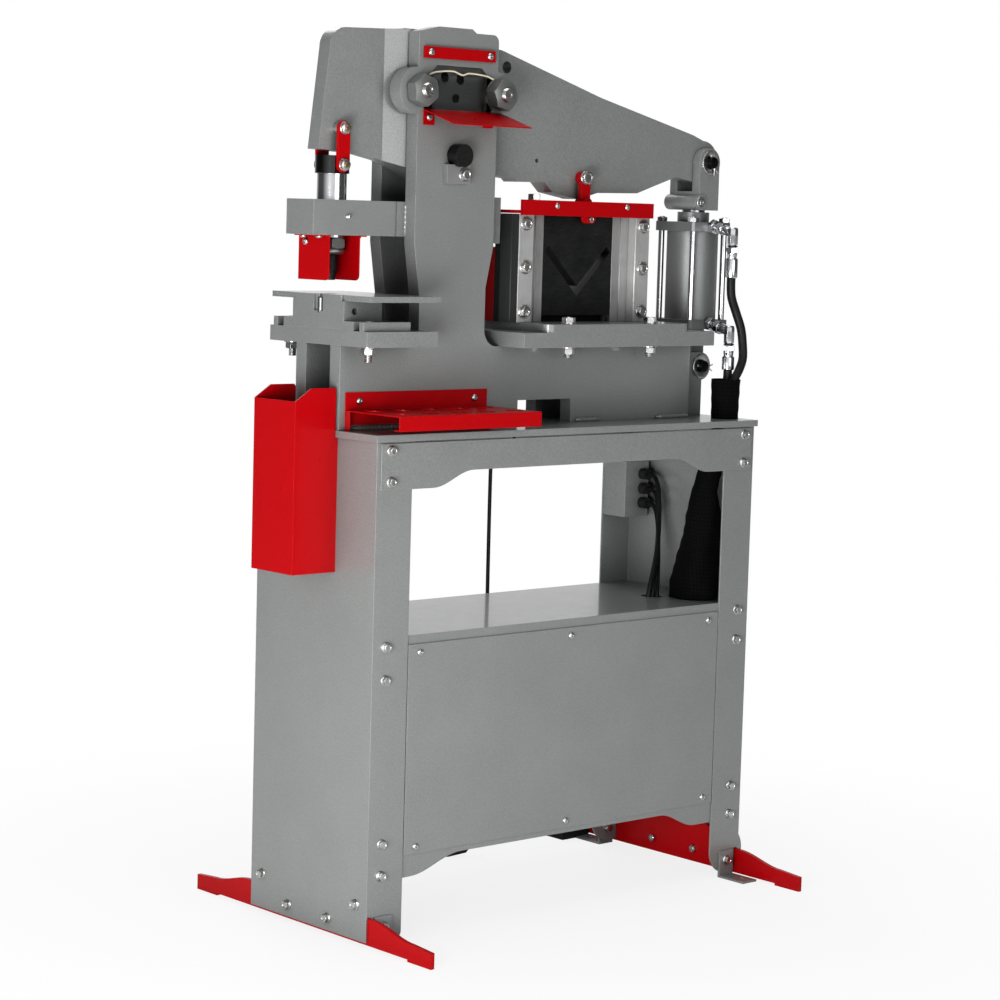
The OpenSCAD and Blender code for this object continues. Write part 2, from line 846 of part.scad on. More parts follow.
module table_plate() {
  color(paint_grey) difference() {
    block([-half_l - table_over, -half_d - table_over, table_z],
      [stand_l + 2 * table_over, stand_d + 2 * table_over, table_t]);
    sleeve_hole();
  }
}

// Foot plate: pads and low tips outside the leg, tall middle behind the leg panel
module foot_profile() {
  tip = half_d + foot_reach;
  low = half_d + foot_reach * foot_flat_share;
  half = concat([[tip, 0], [tip, foot_tip_h]],
    s_curve([low, foot_mid_h], [half_d + foot_top_l, foot_leg_h], curve_steps),
    [[half_d - sheet_t, foot_leg_h], [half_d - post_w, foot_top_h]]);
  under = [[tip - foot_pad_l, foot_pad_h], [tip - foot_pad_l, 0]];
  polygon(concat(half, flip(half), flip(under), under));
}
module feet() {
  color(paint_red) difference() {
    both_ends() along_x(-half_l + sheet_t, foot_t) foot_profile();
    foot_bolt_holes();
  }
}
module floor_brackets() {
  color(paint_grey) difference() {
    both_sides() both_ends() {
      block([-half_l + bracket_in - bracket_w / 2, -half_d - bracket_t, 0], [bracket_w, bracket_t,
        bracket_up]);
      block([-half_l + bracket_in - bracket_w / 2, -half_d - bracket_out, 0], [bracket_w, bracket_out,
        bracket_t]);
    }
    for (p = bracket_places())
      ycyl(p[0], -half_d - bracket_t - cut, p[1], bolt_d + 2 * bolt_gap, stand_d + 2 * bracket_t + 2 * cut);
    both_sides() both_ends()
      zcyl(-half_l + bracket_in, -half_d - anchor_out, -cut, anchor_d, bracket_t + 2 * cut);
  }
}
module hex_bolts() {
  color(zinc) {
    for (p = flange_places()) {
      facing_back(p[0], -half_d - (p[1] < apron_rows[1] ? 0 : sheet_t), p[1]) flange_bolt(2 * sheet_t);
      mirror([0, 1, 0]) facing_back(p[0], -half_d, p[1]) flange_bolt(2 * sheet_t);
    }
    both_sides() {
      for (p = bracket_places()) facing_back(p[0], -half_d - bracket_t,
        p[1]) flange_bolt(sheet_t + bracket_t);
    }
    both_ends() for (i = [0, 1], s = [-1, 1])
      translate([-half_l, s * foot_bolts_y[i], foot_bolts_z[i]]) rotate([0, 90,
        0]) flange_bolt(sheet_t + foot_t);
    both_sides() {
      translate([bolster_x + die_slot_l - die_slot_w / 2, -die_slot_y,
        die_foot_z + die_foot_t]) mirror([0, 0, 1])
        heavy_bolt(die_foot_t + bolster_t, bolt_flange_t);
      for (x = bed_bolt_x) translate([shear_x + x, -bed_bolt_y, housing_z]) mirror([0, 0, 1])
        heavy_bolt(bed_low_t + bed_up_t, bolt_flange_t);
    }
    for (s = [-1, 1], u = gib_bolt_shares)
      facing_back(shear_x + s * (shear_w / 2 - gib_bolt_in), -housing_front - gib_t,
        housing_z + shear_h * u) gib_bolt();
    facing_back(pivot_x + keeper_l / 2 - keeper_bolt_in, -plate_out_y - keeper_t, keeper_z()) gib_bolt();
  }
}
// A washer-head cap screw that ends inside the piece behind
module gib_bolt() {
  translate([0, 0, -bolt_flange_t]) cylinder(d = gib_washer_d, h = bolt_flange_t);
  translate([0, 0, -bolt_flange_t - bolt_head_h]) linear_extrude(bolt_head_h) hexagon(gib_bolt_af);
  cylinder(d = bolt_d, h = gib_t + screw_l);
}
module button_screws() {
  color(zinc) {
    both_sides() for (p = panel_places()) facing_back(p[0], -half_d, p[1]) button_screw();
    for (x = [strap_screw_in, strap_l - strap_screw_in])
      facing_back(col_x + strap_in + x, -plate_out_y - strap_t, strap_z + strap_h / 2) button_screw();
    for (x = defl_tab_x)
      facing_back(col_x + defl_in + x + defl_tab_w / 2, -plate_out_y - red_t,
        defl_z - defl_tab_h / 2) button_screw();
    for (p = guard_places()) translate([p[0], p[1], guide_z - red_t]) button_screw();
    for (p = tray_places()) facing_back(p[0], -plate_out_y - red_t, p[1]) button_screw();
  }
}

// Frame plate: jaw, waist and column with ears, filleted at the throat and the notch
module frame_profile() {
  polygon([[jaw_x, top_z], [jaw_x, jaw_z], [throat_x - throat_r, jaw_z], [throat_x, jaw_z + throat_r],
    [throat_x, throat_mid_z], [col_x, throat_top_z], [col_x, col_z - shoulder_h], [col_x + bump_x[0],
      col_z],
    [col_x + bump_x[1], col_z], [col_x + bump_x[1] + bump_run, col_z - bump_h],
    [col_r_x - col_corner_r, col_z - bump_h], [col_r_x, col_z - bump_h - col_corner_r],
    [col_r_x, notch_top_z], [waist_r_x, notch_mid_z], [waist_r_x, notch_z + notch_r],
    [waist_r_x + notch_r, notch_z], [body_r_x, notch_z], [body_r_x, top_z]]);
}
module frame_plate(y0) {
  deep = plate_t + 2 * cut;
  difference() {
    union() {
      along_y(y0, plate_t) frame_profile();
      for (x = [col_x, col_r_x]) ycyl(x, y0, ear_z, 2 * ear_r, plate_t);
      ycyl(col_r_x - col_corner_r, y0, col_z - bump_h - col_corner_r, 2 * col_corner_r, plate_t);
    }
    ycyl(waist_r_x + notch_r, y0 - cut, notch_z + notch_r, 2 * notch_r, deep);
    ycyl(throat_x - throat_r, y0 - cut, jaw_z + throat_r, 2 * throat_r, deep);
    block([base_gap_x, y0 - cut, top_z - cut], [base_gap_l, deep, base_gap_h + cut]);
    frame_bores(y0);
  }
}
module frame_bores(y0) {
  ycyl(pivot_x, y0 - cut, pivot_z, pivot_d + 2 * run_fit, plate_t + 2 * cut);
  for (x = [col_x, col_r_x]) ycyl(x, y0 - cut, ear_z, tie_d + 2 * run_fit, plate_t + 2 * cut);
}
module window_profile() {
  polygon([[0, 0], [win_l, 0], [win_l, win_h - win_cut], [win_l - win_cut, win_h], [win_cut, win_h],
    [0, win_h - win_cut]]);
}
module front_frame_plate() {
  color(paint_grey) difference() {
    frame_plate(-plate_out_y);
    along_y(-plate_out_y - cut, plate_t + 2 * cut) translate([win_x, win_z]) window_profile();
    for (x = [strap_screw_in, strap_l - strap_screw_in])
      facing_back(col_x + strap_in + x, -plate_out_y - cut, strap_z + strap_h / 2)
        cylinder(d = screw_d + 2 * bolt_gap, h = screw_l + cut);
    for (x = defl_tab_x)
      facing_back(col_x + defl_in + x + defl_tab_w / 2, -plate_out_y - cut, defl_z - defl_tab_h / 2)
        cylinder(d = screw_d + 2 * bolt_gap, h = screw_l + cut);
    for (p = tray_places()) facing_back(p[0], -plate_out_y - cut, p[1])
      cylinder(d = screw_d + 2 * bolt_gap, h = screw_l + cut);
    facing_back(pivot_x + keeper_l / 2 - keeper_bolt_in, -plate_out_y - cut, keeper_z())
      cylinder(d = bolt_d + 2 * bolt_gap, h = gib_t + screw_l);
  }
}
module rear_frame_plate() {
  color(paint_grey) difference() {
    frame_plate(plate_y);
    for (i = [0:2]) ycyl(rod_hole_x[i], plate_y - cut, rod_hole_z[i], rod_exit_d, plate_t + 2 * cut);
  }
}
// Guide block: wide outside the plates, with a tongue welded between them
module punch_guide_block() {
  end_x = guide_end_x + guide_l;
  color(paint_grey) difference() {
    union() {
      translate([guide_end_x, -guide_out_t / 2, guide_z]) linear_extrude(guide_h) {
        square([guide_l - guide_r, guide_out_t]);
        translate([0, guide_r]) square([guide_l, guide_out_t - 2 * guide_r]);
        for (y = [guide_r, guide_out_t - guide_r]) translate([guide_l - guide_r, y]) circle(guide_r);
      }
      block([end_x - guide_r, -plate_y, guide_z], [guide_tongue_l + guide_r, plate_gap, guide_h]);
    }
    zcyl(ram_x, 0, guide_z - cut, ram_d + 2 * run_fit, guide_h + 2 * cut);
    for (p = guard_places()) zcyl(p[0], p[1], guide_z - cut, screw_d + 2 * bolt_gap, screw_l + cut);
  }
}
// Spacer in the column and the cheeks of the lower cylinder pin
module frame_spacers() {
  cheek_t = plate_y - tang_t / 2 - cheek_gap;
  color(paint_grey) {
    block([spacer_x[0], -plate_y, spacer_z[0]], [spacer_x[1] - spacer_x[0], plate_gap,
      spacer_z[1] - spacer_z[0]]);
    both_sides() difference() {
      along_y(-plate_y, cheek_t) {
        translate([cyl_x - lug_l, top_z + lug_up]) square([lug_l - lug_r,
          notch_z - lug_top_gap - top_z - lug_up]);
        translate([bed_end_x + cheek_gap, anchor_z - lug_r]) square([cyl_x - bed_end_x - cheek_gap,
          2 * lug_r]);
        translate([cyl_x, anchor_z]) circle(lug_r);
        translate([bed_end_x + cheek_gap, top_z])
          square([cyl_x + lug_foot_out - bed_end_x - cheek_gap, anchor_z - top_z]);
      }
      ycyl(cyl_x, -plate_y - cut, anchor_z, cyl_pin_d + 2 * run_fit, cheek_t + 2 * cut);
    }
  }
}
function keeper_z() = pivot_z - pivot_d / 2 - keeper_gap - keeper_h / 2 + pin_groove;
module pivot_pin() {
  color(dark) difference() {
    ycyl(pivot_x, -plate_out_y - pin_out, pivot_z, pivot_d, 2 * plate_out_y + pin_out + pin_back);
    block([pivot_x - pivot_d, -plate_out_y - keeper_t - slip, keeper_z() - keeper_h / 2],
      [2 * pivot_d, keeper_t + slip, keeper_h + slip]);
  }
}
module pin_keeper() {
  color(zinc) difference() {
    block([pivot_x - keeper_l / 2, -plate_out_y - keeper_t, keeper_z() - keeper_h / 2], [keeper_l,
      keeper_t, keeper_h]);
    ycyl(pivot_x + keeper_l / 2 - keeper_bolt_in, -plate_out_y - keeper_t - cut, keeper_z(),
      bolt_d + 2 * bolt_gap, keeper_t + 2 * cut);
  }
}
module tie_bolts() {
  color(zinc) for (x = [col_x, col_r_x]) {
    ycyl(x, -plate_out_y - nut_h - tie_tail, ear_z, tie_d, 2 * (plate_out_y + nut_h + tie_tail));
    both_sides() facing_back(x, -plate_out_y - nut_h, ear_z) difference() {
      linear_extrude(nut_h) hexagon(nut_af);
      translate([0, 0, -cut]) cylinder(d = tie_d, h = nut_h + 2 * cut);
    }
  }
}

// Beam outline at rest in x and z, its corners measured from the pivot
module beam_profile() {
  translate([pivot_x, pivot_z])
    polygon(concat(head_points, arm_top_points, [[arm_l, arm_end_up + arm_end_r], [arm_l,
      arm_end_up - arm_end_r]],
      arm_low_points, [[hub_r * hub_shares[0], -hub_r * hub_shares[1]], [-hub_r * hub_shares[0],
        -hub_r * hub_shares[1]]],
      neck_points));
}
// Plan of the beam: thin head, thick hub between the plates, slimmer arm
module beam_plan() {
  far = arm_pin_x + 2 * arm_end_r;
  near = head_end_x - head_l;
  half = [[near, head_t / 2], [head_taper_x[0], head_t / 2], [head_taper_x[1], hub_t / 2],
    [hub_end_x[0], hub_t / 2], [hub_end_x[1], arm_t / 2], [far, arm_t / 2]];
  polygon(concat(half, [for (i = [len(half) - 1:-1:0]) [half[i][0], -half[i][1]]]));
}
// Slot that clears one tie bolt over the beam's whole turn
module tie_slot(x) {
  r = norm([x - pivot_x, ear_z - pivot_z]);
  start = atan2(ear_z - pivot_z, x - pivot_x);
  d = tie_d + 2 * open_fit;
  l = 2 * r * sin(beam_turn / 2);
  translate([pivot_x, pivot_z]) {
    rotate(start - beam_turn / 2) translate([r * cos(beam_turn / 2) - d / 2, -l / 2]) square([d, l]);
    for (a = [start - beam_turn, start]) rotate(a) translate([r, 0]) circle(d = d);
  }
}
module beam() {
  color(paint_grey) difference() {
    union() {
      intersection() {
        along_y(-plate_y, plate_gap) beam_profile();
        translate([0, 0, top_z]) linear_extrude(2 * col_h) beam_plan();
      }
      ycyl(pivot_x, -hub_t / 2, pivot_z, 2 * hub_r, hub_t);
      ycyl(arm_pin_x, -arm_t / 2, arm_pin_z, 2 * arm_end_r, arm_t);
      ycyl(link_pin_x, -arm_t / 2, link_pin_z, 2 * link_lobe_r, arm_t);
      ycyl(pivot_x + head_corner[0], -head_t / 2, pivot_z + head_corner[1], 2 * head_corner_r, head_t);
    }
    ycyl(pivot_x, -plate_y - cut, pivot_z, pivot_d + 2 * bush_wall, plate_gap + 2 * cut);
    along_y(-plate_y - cut, plate_gap + 2 * cut) { tie_slot(col_x); tie_slot(col_r_x); }
    ycyl(arm_pin_x, -plate_y, arm_pin_z, cyl_pin_d + 2 * open_fit, plate_gap);
    ycyl(link_pin_x, -plate_y, link_pin_z, link_bolt_d, plate_gap);
    ycyl(ram_x, -plate_y, link_top_z, link_pin_d, plate_gap);
    ycyl(lift_hole_x, -plate_y, lift_hole_z, lift_hole_d, plate_gap);
    ycyl(tap_hole_x, -plate_y, tap_hole_z, tap_hole_d, plate_gap);
    moving_blade_seat(hub_t / 2 + cut);
    for (i = [0:2]) ycyl(rod_hole_x[i], -plate_y, rod_hole_z[i], rod_pass_d, plate_gap);
  }
}
module moving_blade_seat(front) {
  block([win_x + win_l / 2 - rod_blade_l / 2, -front, win_z + win_h / 2 - rod_blade_h / 2],
    [rod_blade_l, front - hub_t / 2 + rod_blade_t, rod_blade_h]);
}
module rod_holes(y0, l) { for (i = [0:2]) ycyl(rod_hole_x[i], y0, rod_hole_z[i], rod_hole_d[i], l); }
module pivot_bush() {
  color([0.72, 0.55, 0.30]) difference() {
    ycyl(pivot_x, -hub_t / 2, pivot_z, pivot_d + 2 * bush_wall, hub_t);
    ycyl(pivot_x, -hub_t / 2 - cut, pivot_z, pivot_d + 2 * run_fit, hub_t + 2 * cut);
  }
}
module fixed_rod_blade() {
  color(steel) difference() {
    along_y(-plate_out_y + blade_back, plate_t - blade_back)
      translate([win_x, win_z]) window_profile();
    rod_holes(-plate_out_y - cut, plate_t + 2 * cut);
  }
}
module moving_rod_blade() {
  color(steel) difference() {
    moving_blade_seat(hub_t / 2);
    rod_holes(-plate_out_y, plate_out_y);
  }
}
module rod_guard() {
  color([0.85, 0.90, 0.92, 0.35]) along_y(-plate_out_y - guard_t, guard_t) difference() {
    translate([col_x + guard_in, defl_z]) square([guard_l, guard_h]);
    for (x = [col_x, col_r_x]) translate([x, ear_z]) circle(guard_bite_r);
  }
}
module guard_brackets() {
  color(paint_red) {
    guard_strap();
    deflector();
    both_housing_sides() shear_channel();
  }
}
// Bent channel behind one end of the angle shear's housing
module shear_channel() {
  x0 = shear_x - shear_w / 2;
  block([x0, fixed_back, housing_z], [red_t, channel_d, channel_h]);
  for (y = [fixed_back, fixed_back + channel_d - red_t]) block([x0, y, housing_z], [channel_w, red_t,
    channel_h]);
}
module guard_strap() {
  difference() {
    block([col_x + strap_in, -plate_out_y - strap_t, strap_z], [strap_l, strap_t, strap_h]);
    for (x = [strap_screw_in, strap_l - strap_screw_in])
      ycyl(col_x + strap_in + x, -plate_out_y - strap_t - cut, strap_z + strap_h / 2,
        screw_d + 2 * bolt_gap,
        strap_t + 2 * cut);
  }
}
// Sloping sheet with two tabs bent down against the plate
module deflector() {
  x0 = col_x + defl_in;
  difference() {
    union() {
      along_x(x0, defl_l) polygon([[-plate_out_y, defl_z], [-plate_out_y, defl_z - red_t],
        [-plate_out_y - defl_out, defl_z - red_t - defl_drop], [-plate_out_y - defl_out,
          defl_z - defl_drop]]);
      for (x = defl_tab_x) block([x0 + x, -plate_out_y - red_t, defl_z - defl_tab_h], [defl_tab_w, red_t,
        defl_tab_h - red_t / 2]);
    }
    for (x = defl_tab_x)
      ycyl(x0 + x + defl_tab_w / 2, -plate_out_y - red_t - cut, defl_z - defl_tab_h / 2,
        screw_d + 2 * bolt_gap,
        red_t + 2 * cut);
  }
}

// Ram with its collar, flats for the links and the spigot for the coupling nut
module punch_ram() {
  color(chrome) difference() {
    union() {
      zcyl(ram_x, 0, ram_low_z, ram_d, ram_top_z - ram_low_z);
      intersection() {
        zcyl(ram_x, 0, ram_top_z - collar_h, collar_d, collar_h);
        block([ram_x - collar_d, -collar_flat / 2, ram_top_z - collar_h], [2 * collar_d, collar_flat,
          collar_h]);
      }
      zcyl(ram_x, 0, ram_low_z - spigot_h, spigot_d, spigot_h + cut);
    }
    ycyl(ram_x, -collar_d, link_low_z, link_pin_d, 2 * collar_d);
  }
}
module ram_links() {
  r = ram_link_w / 2;
  color(paint_red) both_sides() difference() {
    along_y(-ram_link_y - ram_link_t, ram_link_t) {
      translate([ram_x - r, link_low_z]) square([ram_link_w, link_len]);
      for (z = [link_low_z, link_top_z]) translate([ram_x, z]) circle(r);
    }
    ycyl(ram_x, -ram_link_y - ram_link_t - cut, link_top_z, link_pin_d + 2 * run_fit, ram_link_t + 2 * cut);
    along_y(-ram_link_y - ram_link_t - cut, ram_link_t + 2 * cut) {
      translate([ram_x - link_pin_d / 2 - open_fit, link_low_z]) square([link_pin_d + 2 * open_fit,
        ram_link_slot]);
      for (z = [0, ram_link_slot]) translate([ram_x, link_low_z + z]) circle(d = link_pin_d + 2 * open_fit);
    }
  }
}
module link_pin(z, shoulder) {
  out = ram_link_y + ram_link_t + slip;
  ycyl(ram_x, -out, z, link_pin_d, 2 * out);
  both_sides() {
    ycyl(ram_x, -out - link_pin_head_h, z, link_pin_head_d, link_pin_head_h);
    if (shoulder) ycyl(ram_x, -ram_link_y + fit, z, link_shoulder_d, ram_link_y - fit - head_t / 2);
  }
}
module link_top_pin() { color(zinc) link_pin(link_top_z, true); }
module link_low_pin() { color(zinc) link_pin(link_low_z, false); }
module punch_nut() {
  color(dark) difference() {
    zcyl(ram_x, 0, nut_z, nut_d, ram_low_z - nut_z);
    zcyl(ram_x, 0, nut_z + nut_lip, spigot_d, ram_low_z - nut_z);
    zcyl(ram_x, 0, nut_z - cut, nut_hole_d, nut_lip + 2 * cut);
  }
}
module punch() {
  head_z = nut_z + nut_lip;
  body_z = nut_z - punch_body_l;
  color(dark) {
    zcyl(ram_x, 0, head_z, punch_head_d, ram_low_z - spigot_h - head_z);
    zcyl(ram_x, 0, body_z, punch_body_d, head_z - body_z);
    translate([ram_x, 0, punch_tip_z]) cylinder(d1 = punch_d, d2 = punch_body_d, h = body_z - punch_tip_z);
  }
}
// Guard round the punch, open to the front, with flanges under the guide block
module punch_guard() {
  color(paint_red) difference() {
    guard_shell();
    for (p = guard_places()) zcyl(p[0], p[1], guide_z - red_t - cut, screw_d + 2 * bolt_gap,
      red_t + 2 * cut);
  }
}
module guard_shell() {
  low = guide_z - guard_drop;
  deep = guard_front + guard_back;
  for (s = [-1, 1]) translate([ram_x, 0, 0]) {
    along_x(s < 0 ? -guard_half : guard_half - red_t, red_t) {
      translate([-guard_front, low + guard_r]) square([deep, guard_drop - guard_r]);
      translate([-guard_front + guard_r, low]) square([deep - guard_r, guard_drop]);
      translate([-guard_front + guard_r, low + guard_r]) circle(guard_r);
    }
    block([s < 0 ? -guard_half - guard_flange : guard_half, -guide_out_t / 2, guide_z - red_t],
      [guard_flange, guide_out_t, red_t]);
  }
  block([ram_x - guard_half, guard_back - red_t, low], [2 * guard_half, red_t, guard_drop]);
}

// Die station
module die_bolster() {
  color(paint_grey) difference() {
    block([bolster_x, -bolster_w / 2, bolster_z], [bolster_l, bolster_w, bolster_t]);
    zcyl(ram_x, 0, bolster_z - cut, slug_d, bolster_t + 2 * cut);
    both_sides() zcyl(bolster_x + die_slot_l - die_slot_w / 2, -die_slot_y, bolster_z - cut,
      big_d + 2 * bolt_gap,
      bolster_t + 2 * cut);
  }
}
module die_block() {
  color(paint_grey) difference() {
    union() {
      block([bolster_x, -die_foot_w / 2, die_foot_z], [die_foot_l, die_foot_w, die_foot_t]);
      block([bolster_x, -die_block_w / 2, die_foot_z], [die_block_l, die_block_w,
        work_top_z - work_t - die_foot_z]);
      block([bolster_x, -die_block_w / 2 + work_ledge, die_foot_z],
        [die_block_l - work_ledge, die_block_w - 2 * work_ledge, work_top_z - die_foot_z]);
    }
    both_sides() translate([bolster_x, -die_slot_y,
      die_foot_z - cut]) linear_extrude(die_foot_t + 2 * cut) {
      translate([-cut, -die_slot_w / 2]) square([die_slot_l - die_slot_w / 2 + cut, die_slot_w]);
      translate([die_slot_l - die_slot_w / 2, 0]) circle(d = die_slot_w);
    }
    block([bolster_x - cut, -groove_w / 2, work_top_z - groove_h], [groove_d + cut, groove_w,
      groove_h + cut]);
    ycyl(bolster_x + set_hole_in, -die_block_w / 2 - cut, work_top_z - work_t - set_hole_drop, set_hole_d,
      die_block_w / 2 - die_d / 2 - fit);
    zcyl(ram_x, 0, work_top_z - die_h, die_d + 2 * run_fit, die_h + cut);
    zcyl(ram_x, 0, die_foot_z - cut, slug_d, work_top_z - die_foot_z);
  }
}
module die() {
  color(steel) difference() {
    zcyl(ram_x, 0, work_top_z - die_h, die_d, die_h);
    zcyl(ram_x, 0, work_top_z - die_h - cut, die_relief_d, die_h - die_land + cut);
    zcyl(ram_x, 0, work_top_z - die_h, punch_d + die_clear, die_h + cut);
  }
}
module work_table() {
  color(paint_grey) difference() {
    block([work_x, -work_w / 2, work_top_z - work_t], [work_l, work_w, work_t]);
    block([work_x - cut, -die_block_w / 2 + work_ledge - fit, work_top_z - work_t - cut],
      [bolster_x + die_block_l - work_ledge + fit - work_x + cut, die_block_w - 2 * work_ledge + 2 * fit,
        work_t + 2 * cut]);
  }
}

// Angle shear
module shear_bed() {
  color(paint_grey) difference() {
    union() {
      block([bed_x, -bed_w / 2, bed_z], [bed_l, bed_w, bed_low_t]);
      translate([bed_x + bed_up_in, -bed_w / 2, bed_up_z]) linear_extrude(bed_up_t) round_rect(bed_up_l,
        bed_w, bed_up_r);
    }
    both_sides() for (x = bed_bolt_x)
      zcyl(shear_x + x, -bed_bolt_y, bed_z - cut, big_d + 2 * bolt_gap, bed_low_t + bed_up_t + 2 * cut);
  }
}
// V slot in x and z, both arms at 45 degrees with square ends
module vee_profile() {
  w = slot_w / sqrt(2);
  half = [[0, -w], [vee_reach + w / 2, vee_reach - w / 2], [vee_reach - w / 2, vee_reach + w / 2], [0, w]];
  translate([shear_x, vee_z]) polygon(concat(half, [for (i = [2, 1]) [-half[i][0], half[i][1]]]));
}
module shear_housing() {
  h = shear_h;
  side_w = shear_w / 2 - blade_half;
  groove_y = -housing_front + blade_t / 2;
  fixed_y = -housing_front + blade_t + fixed_gap;
  color(steel) {
    both_housing_sides() difference() {
      block([shear_x - shear_w / 2, -housing_front, housing_z], [side_w, housing_front + housing_back, h]);
      block([shear_x - blade_half - tongue_out - blade_slip, groove_y - tongue_t / 2 - blade_slip,
        housing_z - cut],
        [tongue_out + blade_slip + cut, tongue_t + 2 * blade_slip, h + 2 * cut]);
      for (u = gib_bolt_shares)
        ycyl(shear_x - shear_w / 2 + gib_bolt_in, -housing_front - cut, housing_z + h * u,
          bolt_d + 2 * bolt_gap, screw_l + 2 * cut);
    }
    both_housing_sides() difference() {
      block([shear_x - shear_w / 2, -housing_front - gib_t, housing_z], [gib_w, gib_t, h]);
      for (u = gib_bolt_shares)
        ycyl(shear_x - shear_w / 2 + gib_bolt_in, -housing_front - gib_t - cut, housing_z + h * u,
          bolt_d + 2 * bolt_gap, gib_t + 2 * cut);
    }
    difference() {
      union() {
        block([shear_x - blade_half, fixed_y, housing_z], [2 * blade_half, fixed_back - fixed_y, h]);
        block([shear_x - shear_w / 2, housing_back, housing_z], [shear_w, fixed_back - housing_back, h]);
      }
      along_y(-housing_front, housing_front + fixed_back + cut) vee_profile();
    }
  }
}
module both_housing_sides() {
  children();
  translate([2 * shear_x, 0, 0]) mirror([1, 0, 0]) children();
}
module shear_blade() {
  z0 = housing_z + blade_foot_gap;
  h = shear_h + blade_top_gap - blade_foot_gap;
  w = blade_half - blade_slip;
  color(dark) difference() {
    union() {
      block([shear_x - w, -housing_front, z0], [2 * w, blade_t, h]);
      block([shear_x - w - tongue_out, -housing_front + blade_t / 2 - tongue_t / 2, z0],
        [2 * (w + tongue_out), tongue_t, h]);
    }
    along_y(-housing_front - cut, blade_t + 2 * cut) vee_profile();
  }
}
// Yoke: plate on the blade, front lip, lug for the lift link
module shear_yoke() {
  lug_y = -arm_t / 2 - yoke_lug_gap - yoke_lug_t;
  pin_y = lug_y - yoke_lug_gap - shear_link_t - slip;
  color(paint_red) difference() {
    union() {
      block([shear_x - yoke_half, -yoke_front, yoke_z], [2 * yoke_half, yoke_front + yoke_back, yoke_t]);
      block([shear_x - yoke_half, -yoke_front, yoke_z - yoke_lip_drop], [2 * yoke_half, yoke_lip_t,
        yoke_lip_h]);
      along_y(lug_y, yoke_lug_t) {
        translate([link_pin_x - yoke_lug_w / 2, yoke_z]) square([yoke_lug_w, yoke_pin_up]);
        translate([link_pin_x, yoke_z + yoke_pin_up]) circle(d = yoke_lug_w);
      }
    }
    ycyl(link_pin_x, lug_y - cut, yoke_z + yoke_pin_up, link_bolt_d, yoke_lug_t + 2 * cut);
  }
  color(zinc) {
    ycyl(link_pin_x, pin_y, yoke_z + yoke_pin_up, link_bolt_d, lug_y + yoke_lug_t - pin_y);
    ycyl(link_pin_x, pin_y - link_pin_head_h, yoke_z + yoke_pin_up, link_pin_head_d, link_pin_head_h);
  }
}
// Lift link with the bolt that carries it on the beam
module shear_link() {
  y0 = -arm_t / 2 - 2 * yoke_lug_gap - yoke_lug_t - shear_link_t;
  low = yoke_z + yoke_pin_up;
  color(paint_red) {
    difference() {
      along_y(y0, shear_link_t) {
        translate([link_pin_x - shear_link_w / 2, low]) square([shear_link_w, link_pin_z - low]);
        for (z = [low, link_pin_z]) translate([link_pin_x, z]) circle(d = shear_link_w);
      }
      ycyl(link_pin_x, y0 - cut, low, link_bolt_d + 2 * open_fit, shear_link_t + 2 * cut);
    }
    ycyl(link_pin_x, y0 + shear_link_t, link_pin_z, link_pin_head_d, yoke_lug_t + 2 * yoke_lug_gap - fit);
    ycyl(link_pin_x, y0 + shear_link_t, link_pin_z, link_bolt_d - 2 * run_fit, arm_t + yoke_lug_t);
    ycyl(link_pin_x, y0 - link_pin_head_h, link_pin_z, link_pin_head_d, link_pin_head_h);
  }
}

// Cylinder: tang, square caps and barrel
module cap_profile() {
  intersection() {
    square([cap_w, cap_w], center = true);
    rotate(45) square([(cap_w - cap_cut) * sqrt(2), (cap_w - cap_cut) * sqrt(2)], center = true);
  }
}
module cylinder_body() {
  top = barrel_z + barrel_h;
  color(paint_grey) translate([cyl_x, 0, 0]) difference() {
    union() {
      along_y(-tang_t / 2, tang_t) {
        translate([-tang_r, anchor_z]) square([2 * tang_r, barrel_z - cap_t - anchor_z + cut]);
        translate([0, anchor_z]) circle(tang_r);
      }
      for (z = [barrel_z - cap_t, top]) translate([0, 0, z]) linear_extrude(cap_t) cap_profile();
      cylinder_tube(barrel_z, barrel_d, barrel_h);
      cylinder_tube(top, gland_d, cap_t + gland_h);
    }
    ycyl(0, -tang_t, anchor_z, cyl_pin_d + 2 * run_fit, 2 * tang_t);
    zcyl(0, 0, barrel_z, barrel_d - 2 * barrel_wall, barrel_h);
    zcyl(0, 0, top - cut, rod_d + 2 * run_fit, cap_t + gland_h + 2 * cut);
    for (x = [-tie_in, tie_in], y = [-tie_in, tie_in]) zcyl(x, y, barrel_z - cap_t - cut, tie_rod_d,
      barrel_h + 2 * cap_t + 2 * cut);
  }
}
module cylinder_tube(z, d, h) { translate([0, 0, z]) cylinder(d = d, h = h); }
module tie_rods() {
  l = barrel_h + 2 * cap_t + 2 * tie_nut_h;
  color(zinc) for (x = [-tie_in, tie_in], y = [-tie_in, tie_in])
    translate([cyl_x + x, y, barrel_z - cap_t - tie_nut_h]) {
      cylinder(d = tie_rod_d, h = l);
      for (z = [0, l - tie_nut_h]) translate([0, 0, z]) linear_extrude(tie_nut_h) hexagon(tie_nut_af);
    }
}
module piston_rod() {
  z0 = barrel_z + rod_low;
  color(chrome) translate([cyl_x, 0, 0]) {
    zcyl(0, 0, z0, barrel_d - 2 * barrel_wall - 2 * piston_gap, piston_t);
    zcyl(0, 0, z0, rod_d, clevis_z - z0);
  }
}
